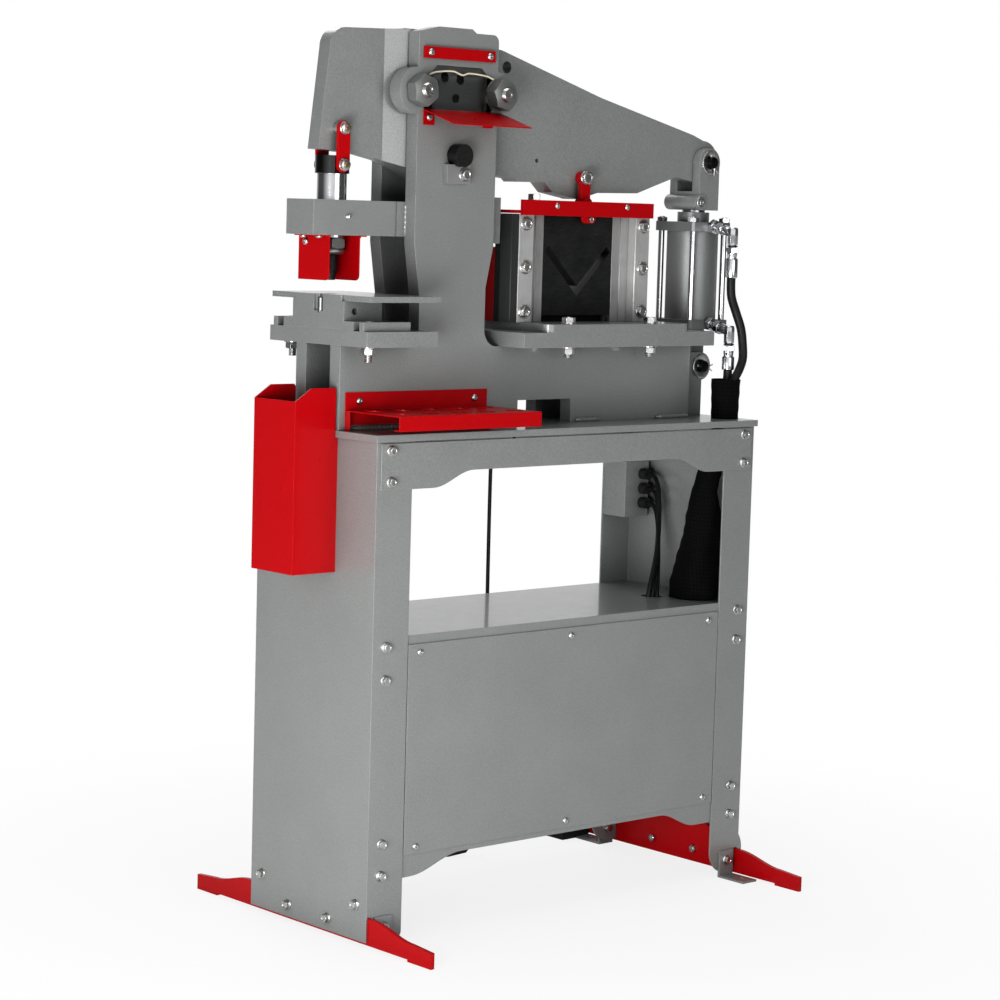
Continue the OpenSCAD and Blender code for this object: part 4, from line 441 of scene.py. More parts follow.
# A shape built up in millimetres from rings, lathed profiles and tubes
class Shape:
    def __init__(self):
        self.points = []
        self.faces = []

    def add(self, points, faces, place=None):
        base = len(self.points)
        for p in points:
            v = Vector(p)
            self.points.append(place @ v if place else v)
        for f in faces:
            self.faces.append([base + i for i in f])

    # Rings joined into a closed wall with two ends
    def rings(self, rings, place=None):
        n = len(rings[0])
        points = [p for r in rings for p in r]
        faces = []
        for i in range(len(rings) - 1):
            for k in range(n):
                a = i * n + k
                b = i * n + (k + 1) % n
                faces.append((a, b, b + n, a + n))
        faces.append(list(range(n))[::-1])
        faces.append([(len(rings) - 1) * n + k for k in range(n)])
        self.add(points, faces, place)

    # Profile of radius and place, turned about the axis
    def lathe(self, profile, place, sides=32):
        self.rings([circle(r, z, sides) for r, z in profile], place)

    # Hexagon with its corners turned off at the top, and at the bottom for a nut
    def hexagon(self, af, z0, z1, place, low=False, dish=0.0, sides=48):
        rc = af * HEX_TURNED
        bottom = []
        wall = []
        for k in range(sides):
            a = 2 * math.pi * k / sides
            r = af / 2 / math.cos((a + math.pi / 6) % (math.pi / 3) - math.pi / 6)
            drop = max(0.0, r - rc) * HEX_SLOPE
            bottom.append((r * math.cos(a), r * math.sin(a), z0 + (drop if low else 0.0)))
            wall.append((r * math.cos(a), r * math.sin(a), z1 - drop))
        stack = [circle(rc, z0, sides)] if low else []
        stack += [bottom, wall, circle(rc, z1, sides)]
        if dish:
            stack += [circle(rc * DISH_RIM, z1, sides), circle(rc * DISH_FLOOR, z1 - dish, sides)]
        self.rings(stack, place)

    def thread(self, r, z0, z1, place, pitch=2.5, sides=24):
        turns = max(1, int((z1 - z0) / pitch))
        step = (z1 - z0) / turns
        profile = [(r * THREAD_ROOT, z0)]
        for i in range(turns):
            profile.append((r, z0 + step * (i + THREAD_CREST)))
            profile.append((r * THREAD_ROOT, z0 + step * (i + 1)))
        self.lathe(profile, place, sides)

    # Tube along a path, with one radius or one for each point
    def tube(self, path, radius, sides=12):
        pts = [Vector(p) for p in path]
        rings = []
        side = None
        for i, p in enumerate(pts):
            t = (pts[min(i + 1, len(pts) - 1)] - pts[max(i - 1, 0)]).normalized()
            if side is None:
                side = t.orthogonal().normalized()
            side = (side - t * side.dot(t)).normalized()
            other = t.cross(side)
            r = radius[i] if isinstance(radius, list) else radius
            rings.append([p + side * (r * math.cos(2 * math.pi * k / sides))
                          + other * (r * math.sin(2 * math.pi * k / sides)) for k in range(sides)])
        self.rings(rings)


# Puts a piece in the scene and on its body, in place of nodes
def link_piece(obj, body, replaced=()):
    scene.collection.objects.link(obj)
    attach(obj, body)
    if replaced:
        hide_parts(*replaced)


# A rigid piece from a shape, smooth up to an angle in degrees
def piece(name, shape, mat, body, replaced=(), angle=38.0, bevel=0.0):
    mesh = bpy.data.meshes.new(name)
    mesh.from_pydata([p * MM for p in shape.points], [], shape.faces)
    bm = bmesh.new()
    bm.from_mesh(mesh)
    bmesh.ops.recalc_face_normals(bm, faces=bm.faces)
    bm.to_mesh(mesh)
    bm.free()
    mesh.materials.append(mat)
    for p in mesh.polygons:
        p.use_smooth = True
    mesh.set_sharp_from_angle(angle=math.radians(angle))
    obj = bpy.data.objects.new(name, mesh)
    link_piece(obj, body, replaced)
    if bevel:
        mod = obj.modifiers.new("bevel", "BEVEL")
        mod.width = bevel * MM
        mod.segments = 2
        mod.limit_method = "ANGLE"
        mod.angle_limit = math.radians(angle)


def zinc_piece(name, shape, body, *replaced):
    piece(name, shape, ZINC, body, replaced)


# Plate of the shear between two y planes, with one hole, filled by triangles
def shear_plate(name, outline, hole, y0, y1):
    bm = bmesh.new()
    edges = []
    for loop in (outline, hole):
        verts = [bm.verts.new((x * MM, y0 * MM, z * MM)) for x, z in loop]
        for a, b in zip(verts, verts[1:] + verts[:1]):
            edges.append(bm.edges.new((a, b)))
    bmesh.ops.triangle_fill(bm, use_beauty=True, use_dissolve=False, edges=edges)
    grown = bmesh.ops.extrude_face_region(bm, geom=list(bm.faces))
    moved = [g for g in grown["geom"] if isinstance(g, bmesh.types.BMVert)]
    bmesh.ops.translate(bm, verts=moved, vec=(0, (y1 - y0) * MM, 0))
    bmesh.ops.recalc_face_normals(bm, faces=bm.faces)
    mesh = bpy.data.meshes.new(name)
    bm.to_mesh(mesh)
    bm.free()
    mesh.materials.append(BLACK)
    obj = bpy.data.objects.new(name, mesh)
    link_piece(obj, "stand", ("shear_housing",))


# Cords, cables and hoses, on the routes of the CAD solids
PRESSURE = [(450, -108, 1162.7), (450, -108, 1148), (453, -108, 1125), (464, -111.5, 1095),
            (472, -118, 1065), (474, -122, 1035), (471, -126.5, 1008), (461, -128.5, 988),
            (450, -129.3, 973), (440.5, -127.5, 957), (433, -123.5, 941), (428, -120.5, 925),
            (427, -119, 905), (427, -119, 876)]
RETURN = [(450, -108, 984.7), (450, -108, 979), (448.8, -108.4, 967), (447, -109, 955), (445.2, -109.7, 943),
          (444, -110, 931), (444, -110, 876)]
CABLES = [
    [(435, 83.6, 765), (434, 70, 764), (430, 56, 756), (424, 44, 737), (417, 33, 710), (405, 20, 680),
     (388, 4, 645), (368, -10, 610), (350, -20, 580), (338, -26, 555), (334, -27, 535), (334, -27, 402.3)],
    [(435, 83.6, 736), (434, 70, 735), (430, 56, 727), (424, 44, 708), (417, 33, 681), (402, 19, 648),
     (384, 4, 615), (367, -10, 585), (353, -21, 560), (346, -27, 537), (346, -27, 402.3)],
    [(435, 83.6, 707), (434, 70, 706), (430, 56, 698), (424, 44, 679), (417, 33, 652), (405, 20, 625),
     (392, 6, 600), (377, -9, 576), (365, -21, 556), (358, -27, 536), (358, -27, 402.3)]]
PEDAL_CORD = [(141, 186.3, 840), (141, 200, 839), (141, 214, 832), (141, 224, 818), (141, 227, 800),
              (141, 227, 600), (141, 225, 400), (141, 225, 200), (141, 226, 110), (140, 230, 60),
              (134, 238, 28), (120, 248, 10), (100, 258, 4), (70, 270, 4), (38, 290, 4), (22, 325, 4),
              (35, 362, 4), (75, 385, 4), (125, 382, 4), (170, 358, 4), (210, 330, 4), (250, 318, 4),
              (290, 313, 4), (330, 313, 6), (356, 313, 13), (375.7, 313, 18)]


def route_length(points):
    return sum((Vector(b) - Vector(a)).length for a, b in zip(points, points[1:])) * MM


# Points spread evenly along a smooth curve through the route
def smooth_route(points, count, steps=24):
    pts = [Vector(p) for p in points]
    dense = []
    for i in range(len(pts) - 1):
        p0 = pts[max(i - 1, 0)]
        p1 = pts[i]
        p2 = pts[i + 1]
        p3 = pts[min(i + 2, len(pts) - 1)]
        k = (p2 - p1).length
        m1 = (p2 - p0) * (k / max((p2 - p0).length, 1e-6))
        m2 = (p3 - p1) * (k / max((p3 - p1).length, 1e-6))
        for j in range(steps):
            t = j / steps
            dense.append(p1 * (2 * t ** 3 - 3 * t ** 2 + 1) + m1 * (t ** 3 - 2 * t ** 2 + t)
                         + p2 * (3 * t ** 2 - 2 * t ** 3) + m2 * (t ** 3 - t ** 2))
    dense.append(pts[-1])
    along = [0.0]
    for a, b in zip(dense, dense[1:]):
        along.append(along[-1] + (b - a).length)
    out = []
    j = 0
    for i in range(count):
        want = along[-1] * i / (count - 1)
        while j < len(dense) - 2 and along[j + 1] < want:
            j += 1
        span = max(along[j + 1] - along[j], 1e-9)
        out.append(dense[j].lerp(dense[j + 1], min(1.0, max(0.0, (want - along[j]) / span))))
    return out


def cord_curve(name, points, diameter, count=40):
    data = bpy.data.curves.new(name, "CURVE")
    data.dimensions = "3D"
    data.bevel_depth = diameter / 2 * MM
    data.bevel_resolution = 6
    data.use_fill_caps = True
    route = smooth_route(points, count)
    spline = data.splines.new("POLY")
    spline.points.add(len(route) - 1)
    for p, v in zip(spline.points, route):
        p.co = (v.x * MM, v.y * MM, v.z * MM, 1.0)
    spline.use_smooth = True
    data.materials.append(RUBBER)
    return bpy.data.objects.new(name, data), route_length(route)


def add_cords():
    jobs = [("pressure_hose", PRESSURE, 17.0, "cylinder_group", "cylinder_hoses", "stiff", "hanging"),
            ("return_hose", RETURN, 17.0, "cylinder_group", "cylinder_hoses", "stiff", "hanging"),
            ("motor_cable_a", CABLES[0], 9.0, "stand", "motor_cables", "medium", "hanging"),
            ("motor_cable_b", CABLES[1], 9.0, "stand", "motor_cables", "medium", "hanging"),
            ("motor_cable_c", CABLES[2], 9.0, "stand", "motor_cables", "medium", "hanging"),
            ("pedal_lead", PEDAL_CORD, 7.5, "stand", "pedal_cord", "medium", "loose")]
    for name, route, d, body, node, stiff, lay in jobs:
        obj, length = cord_curve(name, route, d)
        link_piece(obj, body, (node,))


# Nylon sleeve round the hoses: narrow through the table, full and creased below it
SLEEVE = [(436, -117, 968), (436, -117, 925), (436, -117, 893), (436, -117, 860), (414, -115, 815),
          (399, -110, 760), (401, -103, 705), (404, -96, 655), (403, -91, 605), (402, -88, 572),
          (402, -87, 555), (402, -87, 541.3)]
SLEEVE_R = [30, 28.5, 28, 27, 23, 25, 36, 42, 47, 50, 50, 50]
SLACK_FROM = 870
SLACK_OVER = 160
CLOTH = 1.2
WEAVE_ROUND = 0.17
WEAVE_RADIUS = 27


# Radius of the sleeve at a height, between the given ones
def sleeve_radius(z):
    heights = [p[2] for p in SLEEVE][::-1]
    radii = SLEEVE_R[::-1]
    for i in range(len(heights) - 1):
        if z <= heights[i + 1]:
            t = (z - heights[i]) / (heights[i + 1] - heights[i])
            return radii[i] + (radii[i + 1] - radii[i]) * max(0.0, t)
    return radii[-1]


def add_sleeve(count=150, sides=72):
    path = smooth_route(SLEEVE, count)
    points = []
    uvs = []
    side = Vector((1, 0, 0))
    along = 0.0
    for i, p in enumerate(path):
        t = (path[min(i + 1, count - 1)] - path[max(i - 1, 0)]).normalized()
        side = (side - t * side.dot(t)).normalized()
        other = t.cross(side)
        if i:
            along += (p - path[i - 1]).length
        base = sleeve_radius(p.z)
        slack = min(1.0, max(0.0, (SLACK_FROM - p.z) / SLACK_OVER))
        for k in range(sides + 1):
            a = 2 * math.pi * k / sides
            fold = 0.050 * math.sin(3 * a + along / 55) + 0.034 * math.sin(5 * a - along / 31 + 1.3)
            crease = 0.030 * math.sin(2 * a + along / 12.5) * math.sin(along / 47 + a)
            ripple = 0.012 * math.sin(along / 4.2 + 2 * math.sin(a))
            r = base * (0.94 + slack * (fold + crease) + ripple)
            if k < sides:
                points.append((p + side * (r * math.cos(a)) + other * (r * math.sin(a))) * MM)
            uvs.append((k / sides * WEAVE_ROUND * base / WEAVE_RADIUS, along * MM))
    faces = []
    face_uv = []
    row = sides + 1
    for i in range(count - 1):
        for k in range(sides):
            k2 = (k + 1) % sides
            faces.append((i * sides + k, i * sides + k2, (i + 1) * sides + k2, (i + 1) * sides + k))
            face_uv.append((i * row + k, i * row + k + 1, (i + 1) * row + k + 1, (i + 1) * row + k))
    mesh = bpy.data.meshes.new("hose_sleeve_cloth")
    mesh.from_pydata(points, [], faces)
    layer = mesh.uv_layers.new(name="weave")
    for poly, corners in zip(mesh.polygons, face_uv):
        poly.use_smooth = True
        for loop, uv in zip(poly.loop_indices, corners):
            layer.data[loop].uv = uvs[uv]
    mesh.materials.append(WOVEN)
    obj = bpy.data.objects.new("hose_sleeve_cloth", mesh)
    link_piece(obj, "stand", ("hose_sleeve",))
    mod = obj.modifiers.new("cloth", "SOLIDIFY")
    mod.thickness = CLOTH * MM


# Fasteners: widths across flats, and a half turn for the heads
FLANGE_AF = 14.0
CAP_AF = 18.0
HEAVY_AF = 22.0
HALF_TURN = Matrix.Rotation(math.pi, 4, "X")


# Flange bolt with its nut behind the grip
def flange_bolt(s, at, axis, grip, turn):
    place = aim(at, axis, turn)
    s.lathe([(9.5, 0.0), (9.5, -0.8), (9.0, -1.3), (7.6, -2.1), (7.2, -2.2)], place)
    s.hexagon(FLANGE_AF, 1.6, 8.0, place @ HALF_TURN, dish=0.8)
    s.lathe([(5.0, -0.4), (5.0, grip), (5.0, grip + 5.2), (4.2, grip + 6.0)], place, 20)
    s.hexagon(FLANGE_AF, grip, grip + 5.6, place, low=True)


# Bolt on a washer, in a blind hole
def cap_bolt(s, at, turn):
    place = aim(at, BACK, turn)
    s.lathe([(13.0, 0.0), (13.0, -1.4), (12.5, -2.0), (5.5, -2.0)], place, 40)
    s.hexagon(CAP_AF, 1.9, 8.0, place @ HALF_TURN, dish=0.9)
    s.lathe([(5.0, -1.0), (5.0, 30.0)], place, 20)


# Standing bolt with washer, nut and tail below, and a head where one shows
def heavy_bolt(s, at, grip, turn, tail, head):
    place = aim(at, (0, 0, -1), turn)
    if head:
        s.lathe([(8.0, 0.0), (14.0, 0.0), (14.0, -2.4), (13.4, -3.0), (8.0, -3.0)], place, 36)
        s.hexagon(HEAVY_AF, 3.0, 12.0, place @ HALF_TURN, dish=1.0)
    s.lathe([(7.0, -1.0), (7.0, grip)], place, 24)
    washer = [(8.0, grip), (15.0, grip), (15.0, grip + 2.4), (14.4, grip + 3.0), (8.0, grip + 3.0)]
    s.lathe(washer, place, 36)
    s.hexagon(HEAVY_AF, grip + 3.0, grip + 14.0, place, low=True)
    s.thread(7.0, grip, grip + tail, place, 2.0)


# Places of the hexagon bolts
LEG_BOLT_X = 437.5
LEG_BOLT_ROWS = (865, 811, 525, 467, 123, 179)
APRON_LOW = 800
APRON_SHEET = 3.0
BRACKET_BOLT_X = 431.0
BRACKET_BOLT_Z = 33
BRACKET_SHEET = 4
FOOT_BOLTS = ((136, 71), (57, 30))
BOLSTER_BOLT = (-443.5, 107, 1082)
BED_BOLT_X = (30, 239)
BED_BOLT_Y = 102
GIB_BOLT_OFF = 150
GIB_FRONT = -47
GIB_BOLT_SHARES = (0.10, 0.51, 0.91)
KEEPER_BOLT = (PIVOT_X + 13, -73, 1340)
LEG_TURN = 0.7
GIB_TURN = 0.9


def add_hex_bolts():
    s = Shape()
    n = 0
    for y_sign in (-1, 1):
        axis = (0, -y_sign, 0)
        for x_sign in (-1, 1):
            for z in LEG_BOLT_ROWS:
                n += 1
                face = HALF_D + (APRON_SHEET if y_sign < 0 and z > APRON_LOW else 0.0)
                at = (x_sign * LEG_BOLT_X, y_sign * face, z)
                flange_bolt(s, at, axis, grip=6.0, turn=LEG_TURN * n)
            n += 1
            at = (x_sign * BRACKET_BOLT_X, y_sign * (HALF_D + BRACKET_SHEET), BRACKET_BOLT_Z)
            flange_bolt(s, at, axis, grip=7.0, turn=LEG_TURN * n)
    for x_sign in (-1, 1):
        for y_sign in (-1, 1):
            for y, z in FOOT_BOLTS:
                n += 1
                at = (x_sign * HALF_L, y_sign * y, z)
                flange_bolt(s, at, (-x_sign, 0, 0), grip=11.0, turn=LEG_TURN * n)
    for y_sign in (-1, 1):
        x, y, z = BOLSTER_BOLT
        heavy_bolt(s, (x, y_sign * y, z), grip=43.0, turn=0.4 * y_sign, tail=27.0, head=False)
        for x in BED_BOLT_X:
            at = (x, y_sign * BED_BOLT_Y, HOUSE_Z)
            heavy_bolt(s, at, grip=42.0, turn=0.3 + 0.01 * x, tail=21.0, head=True)
    for sign in (-1, 1):
        for share in GIB_BOLT_SHARES:
            n += 1
            at = (SHEAR_X + sign * GIB_BOLT_OFF, GIB_FRONT, HOUSE_Z + HOUSE_H * share)
            cap_bolt(s, at, GIB_TURN * n)
    cap_bolt(s, KEEPER_BOLT, 0.5)
    zinc_piece("machine_bolts", s, "stand", "hex_bolts")


# Round screw with a socket
BUTTON_HEAD = [(6.5, 0.0), (6.5, -0.6), (6.2, -1.8), (5.4, -2.9), (4.3, -3.7), (3.0, -4.0), (2.3, -4.0),
               (2.2, -2.2)]


def button_screw(s, at, axis):
    place = aim(at, axis)
    s.lathe(BUTTON_HEAD, place, 28)
    s.lathe([(3.0, -0.5), (3.0, 10.0)], place, 16)


# Places of the button screws
PANEL_SCREW_X = (-360, 0, 360)
PANEL_SCREW_Z = (165, 510)
GUIDE_SCREW_X = 42
GUIDE_SCREW_Y = 22
STRAP_SCREWS = ((COL_LEFT + 23, -68, 1550), (COL_LEFT + 160, -68, 1550))
SHELF_SCREWS = ((COL_LEFT + 25, -64, 1438), (COL_LEFT + 162, -64, 1438))
TRAY_SCREWS = ((-426, -64, 942.5), (-161, -64, 942.5))


def add_button_screws():
    s = Shape()
    for y_sign in (-1, 1):
        for x in PANEL_SCREW_X:
            for z in PANEL_SCREW_Z:
                button_screw(s, (x, y_sign * HALF_D, z), (0, -y_sign, 0))
    for at in STRAP_SCREWS + SHELF_SCREWS:
        button_screw(s, at, BACK)
    for x_sign in (-1, 1):
        for y_sign in (-1, 1):
            at = (RAM_X + x_sign * GUIDE_SCREW_X, y_sign * GUIDE_SCREW_Y, GUIDE_Z - 2)
            button_screw(s, at, UP)
    for at in TRAY_SCREWS:
        button_screw(s, at, BACK)
    zinc_piece("panel_screws", s, "stand", "button_screws")


# Two heavy tie bolts across the frame, with a nut at each end
def add_tie_bolts():
    nuts = Shape()
    s = Shape()
    for x, turn in ((COL_LEFT, 0.15), (COL_RIGHT, 0.32)):
        for sign in (-1, 1):
            place = aim((x, sign * PLATE_OUT, EAR_Z), (0, sign, 0), turn)
            nuts.hexagon(50.0, 0.0, 26.0, place, low=True)
            s.thread(13.0, 20.0, 31.0, place, 3.0, 32)
            s.lathe([(11.6, 30.0), (12.0, 31.6), (11.0, 33.0), (5.5, 33.0), (5.0, 29.0)], place, 32)
        s.lathe([(16.5, -PLATE_OUT), (16.5, PLATE_OUT)], aim((x, 0, EAR_Z), BACK), 32)
    piece("tie_nuts", nuts, NUTS, "stand", ("tie_bolts",))
    zinc_piece("tie_studs", s, "stand", "tie_bolts")


# Bolts of the ram links: the upper one has spacers, and both have bronze ends
LINK_OUT = 33
LINK_IN = 15
LINK_PINS = (("link_top_bolt", 1412, "beam_body", "link_top_pin", True),
             ("link_low_bolt", 1349, "ram_body", "link_low_pin", False))


def add_link_pins():
    for name, z, body, node, spaced in LINK_PINS:
        s = Shape()
        ends = Shape()
        s.lathe([(7.0, -LINK_OUT), (7.0, LINK_OUT)], aim((RAM_X, 0, z), BACK), 24)
        for sign in (-1, 1):
            place = aim((RAM_X, sign * LINK_OUT, z), (0, sign, 0), 0.2 * sign + z * 0.01)
            s.lathe([(7.0, 0.0), (11.0, 0.0), (11.0, 1.2), (10.6, 1.6), (7.0, 1.6)], place)
            s.hexagon(18.5, 1.6, 6.8, place, low=True)
            ends.thread(4.6, 4.0, 8.4, place, 1.4)
            ends.lathe([(4.2, 8.2), (3.6, 9.2)], place, 20)
            if spaced:
                s.lathe([(12.0, 0.0), (12.0, 11.2)], aim((RAM_X, sign * LINK_IN, z), (0, sign, 0)), 28)
        zinc_piece(name, s, body, node)
        piece(name + "_ends", ends, BRONZE, body)


# Cylinder's tie rods with nuts, and the elbow fittings of its two hoses
ROD_OFF = 43
ROD_AF = 19.0
PORT_Y = -53
ELBOW_Y = -108
ELBOW_DROP = 12
PORTS = ((1261, 56), (1072, 45))


def add_cylinder_parts():
    s = Shape()
    for x in (-ROD_OFF, ROD_OFF):
        for y in (-ROD_OFF, ROD_OFF):
            place = aim((CYL_X + x, y, 0), UP, 0.2 + 0.004 * x + 0.009 * y)
            s.lathe([(6.0, 1062.0), (6.0, 1266.0)], place, 24)
            s.hexagon(ROD_AF, 1268.0, 1276.5, place, low=True)
            s.thread(6.0, 1262.0, 1278.0, place, 1.75)
            s.hexagon(ROD_AF, 1052.5, 1061.0, place, low=True)
            s.thread(6.0, 1051.0, 1064.0, place, 1.75)
    piece("cylinder_tie_rods", s, CHROME, "cylinder_group", ("tie_rods",))
    s = Shape()
    rings = Shape()
    for z, ferrule in PORTS:
        slope = Vector((0, ELBOW_Y - PORT_Y, -ELBOW_DROP)).normalized()
        place = aim((CYL_X, PORT_Y, z), slope, 0.26)
        s.hexagon(25.0, 0.0, 11.0, place, low=True)
        s.lathe([(8.2, 10.0), (8.2, 15.0), (9.6, 15.5), (9.6, 18.0), (8.2, 18.5), (8.2, 30.0)], place, 28)
        s.hexagon(21.0, 20.0, 31.0, place, low=True)
        s.lathe([(9.0, 30.0), (9.4, 32.0), (9.4, 54.0), (8.0, 56.0)], place, 32)
        down = aim((CYL_X, ELBOW_Y, z - ELBOW_DROP), (0, 0, -1), 0.4)
        s.lathe([(7.0, -10.8), (9.0, -10.0), (10.6, -7.5), (10.8, -4.0), (10.8, 21.0), (10.2, 22.6),
                 (8.4, 23.0), (8.4, 30.0)], down, 8)
        rings.lathe([(8.4, 24.0), (10.0, 24.3), (10.4, 25.3), (10.0, 26.4), (8.4, 26.7)], down, 28)
        s.hexagon(23.0, 28.0, 38.0, down, low=True)
        end = 30.0 + ferrule
        s.lathe([(8.6, 37.0), (9.8, 38.4), (9.8, 43.0), (9.2, 44.0), (9.2, 48.0), (11.4, 49.5), (12.0, 51.0),
                 (12.0, end - 3.0), (11.6, end - 1.0), (10.4, end), (9.0, end)], down, 36)
    piece("hose_fittings", s, CHROME, "cylinder_group", ("port_fittings",))
    piece("fitting_rings", rings, RUBBER, "cylinder_group")


# Split pin through a pin's end, its two legs bent apart
def cotter(s, at, turn):
    x, y, z = at
    c = math.cos(turn)
    d = math.sin(turn)
    for side in (-1, 1):
        path = [(-17, 0), (-15.5, 1.7 * side), (-13, 0.8 * side), (0, 0.8 * side), (13, 0.8 * side),
                (17, 2.2 * side), (25, 6.5 * side)]
        s.tube([(x + u * c - v * d, y, z + u * d + v * c) for u, v in path], 1.2, 8)


# The cylinder's two pins, with a washer and a split pin at each end
CYLINDER_PINS = (("upper_clevis_pin", 1383, 39.8, "rod_body", "clevis_pin", -1.15),
                 ("lower_anchor_pin", 988, 34.0, "stand", "anchor_pin", -0.12))


def add_cylinder_pins():
    for name, z, inner, body, node, turn in CYLINDER_PINS:
        s = Shape()
        pin = Shape()
        end = inner + 13
        pin.lathe([(8.6, -end), (10.6, -end + 0.8), (11.2, -end + 2.2), (11.2, -inner - 4.4),
                   (12.5, -inner - 3.6), (12.5, inner + 3.6), (11.2, inner + 4.4), (11.2, end - 2.2),
                   (10.6, end - 0.8), (8.6, end)], aim((CYL_X, 0, z), BACK), 40)
        for sign in (-1, 1):
            place = aim((CYL_X, sign * inner, z), (0, sign, 0))
            washer = [(12.6, 0.0), (23.0, 0.0), (23.0, 3.2), (22.2, 4.0), (13.4, 4.0), (12.6, 3.4)]
            s.lathe(washer, place, 44)
            cotter(s, (CYL_X, sign * (end - 5), z), turn)
        piece(name, pin, DARK, body, (node,))
        zinc_piece(name + "_washers", s, body, node)


# Coupling nut under the ram: six flats over a rounded collar
def add_coupling_nut():
    s = Shape()
    place = aim((RAM_X, 0, 0), UP, 0.5)
    s.hexagon(46.0, 1204.0, 1223.6, place, low=True)
    s.lathe([(14.0, 1194.0), (19.0, 1194.2), (23.5, 1196.0), (25.6, 1199.0), (25.6, 1202.0), (24.0, 1204.4),
             (21.0, 1204.6)], place, 44)
    piece("coupling_nut", s, STEEL, "ram_body", ("punch_nut",))


# Shear: ground columns and gib bars, black fixed plate with the V slot
COLUMN_FRONT = -27
COLUMN_BACK = 3
GROOVE_FRONT = -19.4
GROOVE_BACK = -10.6
HOUSE_HALF = 167
MOUTH_HALF = 88
VEE_TIP_Z = 1133.0
VEE_REACH = 79
VEE_WIDTH = 14


def add_shear_housing():
    cols = Shape()
    gibs = Shape()
    z0 = HOUSE_Z
    z1 = HOUSE_Z + HOUSE_H
    for sign in (-1, 1):
        outer = SHEAR_X + sign * HOUSE_HALF
        inner = SHEAR_X + sign * MOUTH_HALF
        groove = SHEAR_X + sign * 95.4
        mid = SHEAR_X + sign * 109
        front = COLUMN_FRONT
        line = front + 1.5
        profile = [(outer, front), (outer, COLUMN_BACK), (inner, COLUMN_BACK), (inner, GROOVE_BACK),
                   (groove, GROOVE_BACK), (groove, GROOVE_FRONT), (inner, GROOVE_FRONT), (inner, front),
                   (mid - sign, front), (mid - sign, line), (mid + sign, line), (mid + sign, front)]
        cols.rings([[(x, y, z) for x, y in profile] for z in (z0, z1)])
        lip = SHEAR_X + sign * 130
        bar = [(outer, front), (outer, GIB_FRONT + 1), (outer - sign, GIB_FRONT), (lip + sign, GIB_FRONT),
               (lip, GIB_FRONT + 1), (lip, front)]
        gibs.rings([[(x, y, z) for x, y in bar] for z in (z0, z1)])
    piece("shear_columns", cols, SHADED_COLUMN, "stand", ("shear_housing",), bevel=0.6)
    piece("shear_gibs", gibs, GIB, "stand", ("shear_housing",), bevel=0.6)
    tip = VEE_TIP_Z
    w = VEE_WIDTH / math.sqrt(2)
    reach = VEE_REACH
    x = SHEAR_X
    slot = [(x, tip - w), (x + reach + w / 2, tip + reach - w / 2), (x + reach - w / 2, tip + reach + w / 2),
            (x, tip + w), (x - reach + w / 2, tip + reach + w / 2), (x - reach - w / 2, tip + reach - w / 2)]
    for name, half, y0, y1 in (("fixed_vee_blade", MOUTH_HALF, -2.5, COLUMN_BACK),
                               ("fixed_back_plate", HOUSE_HALF, COLUMN_BACK, 18)):
        outline = [(x - half, z0), (x + half, z0), (x + half, z1), (x - half, z1)]
        shear_plate(name, outline, slot, y0, y1)


# Weld bead with ripples and tapered ends
def bead(s, a, b, r, seed, step=1.6, ripple=1.4):
    a = Vector(a)
    b = Vector(b)
    count = max(8, int((b - a).length / step))
    path = []
    radii = []
    for i in range(count + 1):
        t = i / count
        path.append(a.lerp(b, t))
        wave = 0.5 + 0.5 * math.sin(t * (b - a).length / ripple + seed)
        taper = min(1.0, 6 * t + 0.3, 6 * (1 - t) + 0.3)
        radii.append(r * taper * (0.86 + 0.18 * wave))
    s.tube(path, radii, 12)


# Weld beads: up the guide block and the column, and along the frame's foot
GUIDE_WELD_X = -308
COLUMN_WELD_X = -123
COLUMN_WELD_Z = (1220, 1300)
POST_WELD_Y = 34.5
FOOT_WELD_Y = 64
FOOT_WELDS = ((-440, -330), (-230, -140), (90, 150), (301, 388))


def add_welds():
    s = Shape()
    seed = 0.0
    for sign in (-1, 1):
        seed += 1.7
        y = sign * POST_WELD_Y
        bead(s, (GUIDE_WELD_X, y, GUIDE_Z + 1), (GUIDE_WELD_X, y, GUIDE_Z + 61), 4.0, seed)
        low, high = COLUMN_WELD_Z
        bead(s, (COLUMN_WELD_X, y, low), (COLUMN_WELD_X, y, high), 3.6, seed + 2)
        y = sign * FOOT_WELD_Y
        for x0, x1 in FOOT_WELDS:
            seed += 1.1
            bead(s, (x0, y, TOP_Z + 3), (x1, y, TOP_Z + 3), 5.4, seed)
    piece("weld_beads", s, GREY, "stand", angle=60)


# Places of the small fittings
NIPPLE = (-442, -38, 1260)
YOKE_BOLT = (-3, -34.5, 1281)
YOKE_SCREWS = ((35.0, -57, 1290.0), (214.0, -57, 1291.5))
TAB_BOLT = (127, -49.5, 1267)
LIFT_BOLT = (123, -37, 1344)
CLAMP_SCREW = (426, -43, 1306)
DIE_PIN = (-466.4, -1.5, 0)
GUARD_SCREW = (-481, 26, 1216)


def add_grease_nipple():
    s = Shape()
    place = aim(NIPPLE, FRONT)
    s.hexagon(8.0, 0.0, 3.0, place)
    s.lathe([(3.0, 2.5), (3.0, 4.0), (2.0, 5.0), (2.0, 6.0), (3.2, 7.0), (3.2, 8.0), (1.8, 9.5)], place, 20)
    zinc_piece("grease_nipple", s, "stand")


# Ivory edging along the top of the clear guard
def add_guard_edging():
    s = Shape()
    route = [(-287.6, -66.5, 1511.7), (-271.7, -66.5, 1516.7), (-232.6, -66.5, 1519.6),
             (-211.5, -66.5, 1514.1), (-197.6, -66.5, 1517.9), (-155.1, -66.5, 1515.3),
             (-139.4, -66.5, 1510.7)]
    s.tube(smooth_route(route, 60), 1.5, 12)
    piece("guard_edging", s, IVORY, "stand", angle=70)


